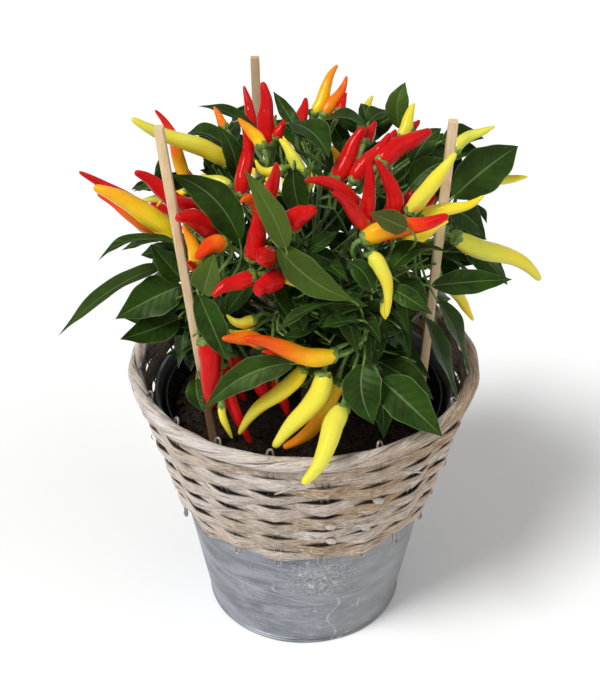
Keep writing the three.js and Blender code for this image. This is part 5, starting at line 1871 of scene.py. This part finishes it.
@dataclass(frozen=True)
class WillowBorder:
    """The rim: broad strips that twist slowly round each other, with the stakes' wire bends over them."""

    ring: float = 109.2
    level: float = 188.3
    reach_out: float = 3.5
    reach_up: float = 4.3
    broad: float = 5.8
    thick: float = 2.6
    turns: int = 4
    strips: int = 7
    kink: float = 0.7
    bend_ring: float = 107.4
    bend_lean: float = 2.7
    bend_width: float = 2.9
    bend_foot: float = 184.0
    bend_height: float = 11.2
    wire: float = 0.8

    def build(self, willow: Material, wire: Material) -> None:
        """Builds the twisted strips and the bends as one piece.

        Args:
            willow: The strips' material.
            wire: The bends' material.
        """
        skin = Skin("twisted_rim", [willow, wire])
        for strip in range(self.strips):
            self.strip(skin, FULL_TURN * strip / self.strips, 0.08 * (strip * 3 % self.strips))
        for stake in range(STAKES):
            self.bend(skin, STAKE_TURN + FULL_TURN * stake / STAKES, 0.5 * math.sin(2.4 * stake))
        skin.piece("willow", ["willow_border"])

    def strip(self, skin: Skin, phase: float, shade: float) -> None:
        """Lays one strip round the rim.

        Args:
            skin: The rim's skin.
            phase: Where on the twist it starts.
            shade: Its tone.
        """
        def twist(angle: float) -> float:
            """Returns how far the strip has turned round the rim's middle line."""
            return self.turns * angle + phase + 0.5 * math.sin(5 * angle + 2 * phase)

        def middle(share: float) -> Vector:
            """Gives the strip's middle.

            Args:
                share: Share of the way round.

            Returns:
                The point there.
            """
            angle = FULL_TURN * share
            wobble = 0.5 * math.sin(3 * angle + phase)
            radius = self.ring + self.reach_out * math.cos(twist(angle))
            radius -= self.kink * math.sin(STAKES / 2 * (angle - STAKE_TURN)) ** 2
            rise = self.reach_up * math.sin(twist(angle)) * 0.8 + wobble * 0.4
            return ray(angle) * radius + UP * (self.level + rise)

        def place(u: float, w: float) -> Spot:
            """Places a corner of the strip's grid.

            Args:
                u: Share of the way round the strip's section.
                w: Share of the way round the rim.

            Returns:
                Its point and tone.
            """
            angle = FULL_TURN * w
            centre = middle(w)
            tangent = (middle(w + 0.002) - middle(w - 0.002)).normalized()
            thin = ray(angle) * math.cos(twist(angle)) + UP * math.sin(twist(angle))
            thin = (thin - tangent * thin.dot(tangent)).normalized()
            wide = tangent.cross(thin)
            phi = FULL_TURN * (u - 0.25)
            deep = swell(math.cos(phi), 0.7) * self.thick / 2
            high = swell(math.sin(phi), 0.8) * self.broad / 2
            deep -= 0.9 * (2 * high / self.broad) ** 2
            # the right gets a higher tone, browner and darker: partly the willow's own tan, partly painted shade away
            # from the key light
            shaded_tan_east = smooth(math.cos(angle), -0.5, 0.9)
            tone = shade * mix(0.4, 0.9, shaded_tan_east) + 0.08 * math.sin(2 * angle + phase) + 0.40 * shaded_tan_east
            return centre + thin * deep + wide * high, min(1.0, max(0.0, tone))

        skin.sheet(14, 360, place)

    def bend(self, skin: Skin, angle: float, yaw: float) -> None:
        """Lays one wire bend over the rim, leaning inwards.

        Args:
            skin: The rim's skin.
            angle: Where on the rim it stands.
            yaw: How far it is turned from the rim's line, in radians.
        """
        out = ray(angle)
        along = Quaternion(UP, yaw) @ UP.cross(out)
        points = []
        for share in taper(-1, 1, 12):
            rise = 1 - abs(share) ** 3.5
            points.append(out * (self.bend_ring - self.bend_lean * rise) + along * share * self.bend_width
                          + UP * (self.bend_foot + self.bend_height * rise))
        skin.tube(points, [self.wire] * len(points), 6, 0.0, WIRE)


@dataclass(frozen=True)
class StakeWires:
    """The straight legs of the wire stakes in the weave, with round eyes under the band."""

    radius: float = 0.75
    low: float = 91.2
    high: float = 185.0
    eye: float = 1.9
    droop: float = 2.6

    def build(self, band: WillowBand, wire: Material) -> None:
        """Builds all stakes as one piece.

        Args:
            band: The band that hides them.
            wire: Their material.
        """
        skin = Skin("stake_wires", [wire])
        for stake in range(STAKES):
            angle = STAKE_TURN + FULL_TURN * stake / STAKES
            low = self.low - (self.droop if stake % 3 == 2 else 0.0)
            bottom = low + self.eye
            spots = [(-self.eye, mix(self.high, bottom, step / 10)) for step in range(10)]
            for step in range(11):
                turn = math.pi * step / 10
                spots.append((-self.eye * math.cos(turn), bottom - self.eye * math.sin(turn)))
            spots += [(self.eye, mix(bottom, self.high, (step + 1) / 10)) for step in range(10)]
            points = []
            for aside, height in spots:
                inner, outer = band.edge(height)
                radius = (inner + outer) / 2 + 3.0 * smooth(height, low + 5, low)
                points.append(ray(angle + aside / radius) * radius + UP * height)
            skin.tube(points, [self.radius] * len(points), 6)
        skin.piece("zinc")


@dataclass(frozen=True)
class NurseryPot:
    """The thin black pot inside the bucket, with its turned-out lip."""

    bottom: float = 1.8
    height: float = 167.0
    base_radius: float = 60.0
    rim_radius: float = 91.4
    wall: float = 0.9
    lip: float = 8.0

    def outer(self, height: float) -> float:
        """Returns the wall's outer radius at a height."""
        share = (height - self.bottom) / (self.height - self.lip - self.bottom)
        return mix(self.base_radius, self.rim_radius - 3, share)

    def build(self) -> None:
        """Builds the pot."""
        neck = self.height - self.lip
        outer = [(self.outer(height), height) for height in (3, 10, 30, 60, 90, 120, 145, 155, neck - 1)]
        inner = [(self.outer(height) - self.wall, height) for height in (neck - 1.6, 150, 120, 90, 60, 30, 10, 3.2)]
        lip = [(self.rim_radius - 0.3, neck + 0.3), (self.rim_radius, neck + 1.2), (self.rim_radius, self.height - 1.4)]
        roll = arc(self.rim_radius - 1.0, self.height - 1.0, 1.0, 0, 180, 6)
        inside = [(self.rim_radius - 2.2, neck + 2), (self.outer(neck) - self.wall + 0.4, neck)]
        profile = [(0, self.bottom), (50, self.bottom), (59.4, self.bottom), *outer, *lip, *roll, *inside, *inner,
                   (55, self.bottom + self.wall), (0, self.bottom + self.wall)]
        skin = spun("nursery_liner", profile, 128)
        skin.materials = [PlasticFinish().dress()]
        skin.piece("pot_plastic", ["nursery_pot"], 40)


@dataclass(frozen=True)
class Soil:
    """The potting soil: one body with an uneven, crumbly surface."""

    surface: float = 156.0
    lump: float = 2.4
    room: float = 0.45
    floor_share: float = 0.1
    side_share: float = 0.25
    crumbs: int = 420
    seed: int = 3

    def height(self, x: float, y: float) -> float:
        """Returns the surface's height."""
        wave = math.sin(x * 0.21 + 1) * math.cos(y * 0.17) + 0.6 * math.sin(x * 0.09 - y * 0.13)
        return self.surface + self.lump * wave

    def build(self, pot: NurseryPot) -> None:
        """Builds the soil with its crumbs and one larger clod.

        Args:
            pot: The pot that it fills.
        """
        skin = Skin("potting_soil", [SoilFinish().dress()])
        bottom = pot.bottom + pot.wall + 0.4
        edge = self.surface - 3
        rim = pot.outer(edge) - pot.wall - self.room

        def place(u: float, w: float) -> Spot:
            """Places a corner of the soil's grid.

            Args:
                u: Share of the way round.
                w: Share of the way over floor, side and surface.

            Returns:
                Its point and tone.
            """
            out = ray(FULL_TURN * u)
            foot = pot.outer(bottom) - pot.wall - self.room
            if w < self.floor_share:
                return out * foot * (w / self.floor_share) + UP * bottom, 0.0
            if w < self.side_share:
                share = (w - self.floor_share) / (self.side_share - self.floor_share)
                return out * mix(foot, rim, share) + UP * mix(bottom, edge, share), 0.0
            share = 1 - (w - self.side_share) / (1 - self.side_share)
            spot = out * rim * share
            rough = noise.noise(spot * 0.35) * 1.6 + noise.noise(spot * 0.9) * 0.7
            ease = 1 - smooth(share, 0.86, 1.0)
            return spot + UP * mix(edge, self.height(spot.x, spot.y) + rough, ease), 0.0

        skin.sheet(120, 60, place)
        draw = random.Random(self.seed)
        for _ in range(self.crumbs):
            reach, turn = rim * 0.97 * math.sqrt(draw.random()), draw.uniform(0, FULL_TURN)
            size = draw.uniform(0.7, 2.6)
            x, y = reach * math.cos(turn), reach * math.sin(turn)
            spot = Vector((x, y, self.height(x, y) + size * 0.15))
            skin.lump(spot, size, 1, 0.0, 0, 0.5, 0.7)
        skin.lump(Vector((-22, -60, self.height(-22, -60) + 1.5)), 5.5, 3, 0.0, 0, 0.5, 0.6)
        skin.piece("soil", ["soil"])


@dataclass(frozen=True)
class Stick:
    """One support stick of split wood."""

    name: str
    top: Triple
    foot: Triple
    stained: float
    tint: float = 0.0
    width: float = 5.6

    def build(self, wood: Material) -> None:
        """Builds the stick, square with worn corners.

        Args:
            wood: Its material.
        """
        skin = Skin(self.name.replace("support_stick", "split_stick"), [wood])
        low, high = Vector(self.foot), Vector(self.top)
        points = [low.lerp(high, share) for share in taper(0, 1, 48)]
        half = self.width / 2
        shift = self.top[0]

        def square(turn: float, share: float) -> float:
            """Makes the round section square, with split faces.

            Args:
                turn: Angle round the stick.
                share: Share of its length.

            Returns:
                A factor on the radius.
            """
            edge = 1 / max(abs(math.cos(turn)), abs(math.sin(turn)))
            split = 0.035 * noise.noise(Vector((turn * 1.5 + shift, share * 9, 0)))
            return min(edge, 1.26) + split

        radii = [half * 0.97] * len(points)
        radii[0] = radii[-1] = half * 0.93
        tones = [mix(self.stained, self.tint, smooth(point.z, 196, 236)) for point in points]
        skin.tube(points, radii, 24, tones, 0, square)
        skin.piece("stick_wood", [self.name], 50)


@dataclass(frozen=True)
class Studio:
    """The pale floor, soft lights and the camera at the photograph's viewing angle."""

    lens: float = 69.22
    pitch: float = 56.41
    shift: float = -0.006
    room_light: float = 0.36
    suns: tuple = (("key", (-0.55, -0.5, 1.0), 20, 2.6), ("fill", (0.7, -0.5, 0.8), 50, 0.5))

    def build(self) -> None:
        """Builds the stage."""
        skin = bmesh.new()
        bmesh.ops.create_grid(skin, x_segments=40, y_segments=40, size=6.0)
        mesh = bpy.data.meshes.new("floor")
        skin.to_mesh(mesh)
        skin.free()
        floor = bpy.data.objects.new("floor", mesh)
        mesh.materials.append(FloorFinish().dress())
        bpy.context.scene.collection.objects.link(floor)
        for sun in self.suns:
            self.sun(*sun)
        world = bpy.data.worlds.new("soft_room")
        world.use_nodes = True
        glow = world.node_tree.nodes["Background"]
        glow.inputs[0].default_value = (1.0, 1.0, 1.0, 1.0)
        glow.inputs[1].default_value = self.room_light
        scene = bpy.context.scene
        scene.world = world
        scene.view_settings.view_transform = "Standard"
        camera = bpy.data.objects.new("camera", bpy.data.cameras.new("camera"))
        scene.collection.objects.link(camera)
        camera.location = CAMERA_SPOT * MM
        camera.rotation_euler = (math.radians(self.pitch), 0, 0)
        camera.data.lens = self.lens
        camera.data.sensor_width = 36
        camera.data.shift_x = self.shift
        camera.data.clip_start = 0.05
        scene.camera = camera

    def sun(self, name: str, spot: Triple, angle: float, power: float) -> None:
        """Adds a soft distant light.

        Args:
            name: Its name.
            spot: The way it comes from.
            angle: How wide it is, in degrees.
            power: Its power.
        """
        lamp = bpy.data.lights.new(name, "SUN")
        lamp.energy = power
        lamp.angle = math.radians(angle)
        holder = bpy.data.objects.new(name, lamp)
        holder.location = spot
        holder.rotation_euler = (-Vector(spot)).to_track_quat("-Z", "Y").to_euler()
        bpy.context.scene.collection.objects.link(holder)


BACK_CROWNS = (
    Crown("back_left", 2.8, Ripeness.RED, ((-20, 16, 240), (-38, 36, 248), (-50, 50, 246)), 4),
    Crown("back", 0, Ripeness.YELLOW, ((-2, 24, 244), (-6, 48, 252), (-8, 66, 252)), 4),
    Crown("back_right", 2.8, Ripeness.RED, ((20, 18, 240), (38, 38, 246), (50, 52, 244)), 4),
    Crown("back_low_left", 4, Ripeness.YELLOW, ((-20, 22, 222), (-40, 50, 222), (-45, 74, 218)), 3),
    Crown("back_low_right", 0, Ripeness.RED, ((16, 28, 222), (30, 54, 222), (38, 72, 220)), 3),
)

STICKS = (
    Stick("support_stick_left", (-78, -60, 380), (-51.6, -48.7, 110), 0.95),
    Stick("support_stick_right", (82, -41, 375), (71.3, -22, 120), 0.1),
    Stick("support_stick_back", (-30, 53, 375), (-24.2, 46, 76), 0.5, 0.33),
)


def main() -> None:
    """Builds the pot, the plant and the studio."""
    logging.basicConfig(level=logging.INFO, format="%(message)s")
    willow = WillowFinish().dress()
    wire = WireFinish().dress()
    band = WillowBand()
    pot = NurseryPot()
    Bucket().build()
    band.build(willow)
    WillowBorder().build(willow, wire)
    StakeWires().build(band, wire)
    pot.build()
    Soil().build(pot)
    wood = SplitWoodFinish().dress()
    for stick in STICKS:
        stick.build(wood)
    shoots = [*FRONT_SHOOTS, *(crown.shoot() for crown in BACK_CROWNS)]
    bunches = [*FRONT_BUNCHES, *(crown.bunch() for crown in BACK_CROWNS)]
    Plant().build(shoots, bunches)
    Studio().build()


if __name__ == "__main__":
    main()
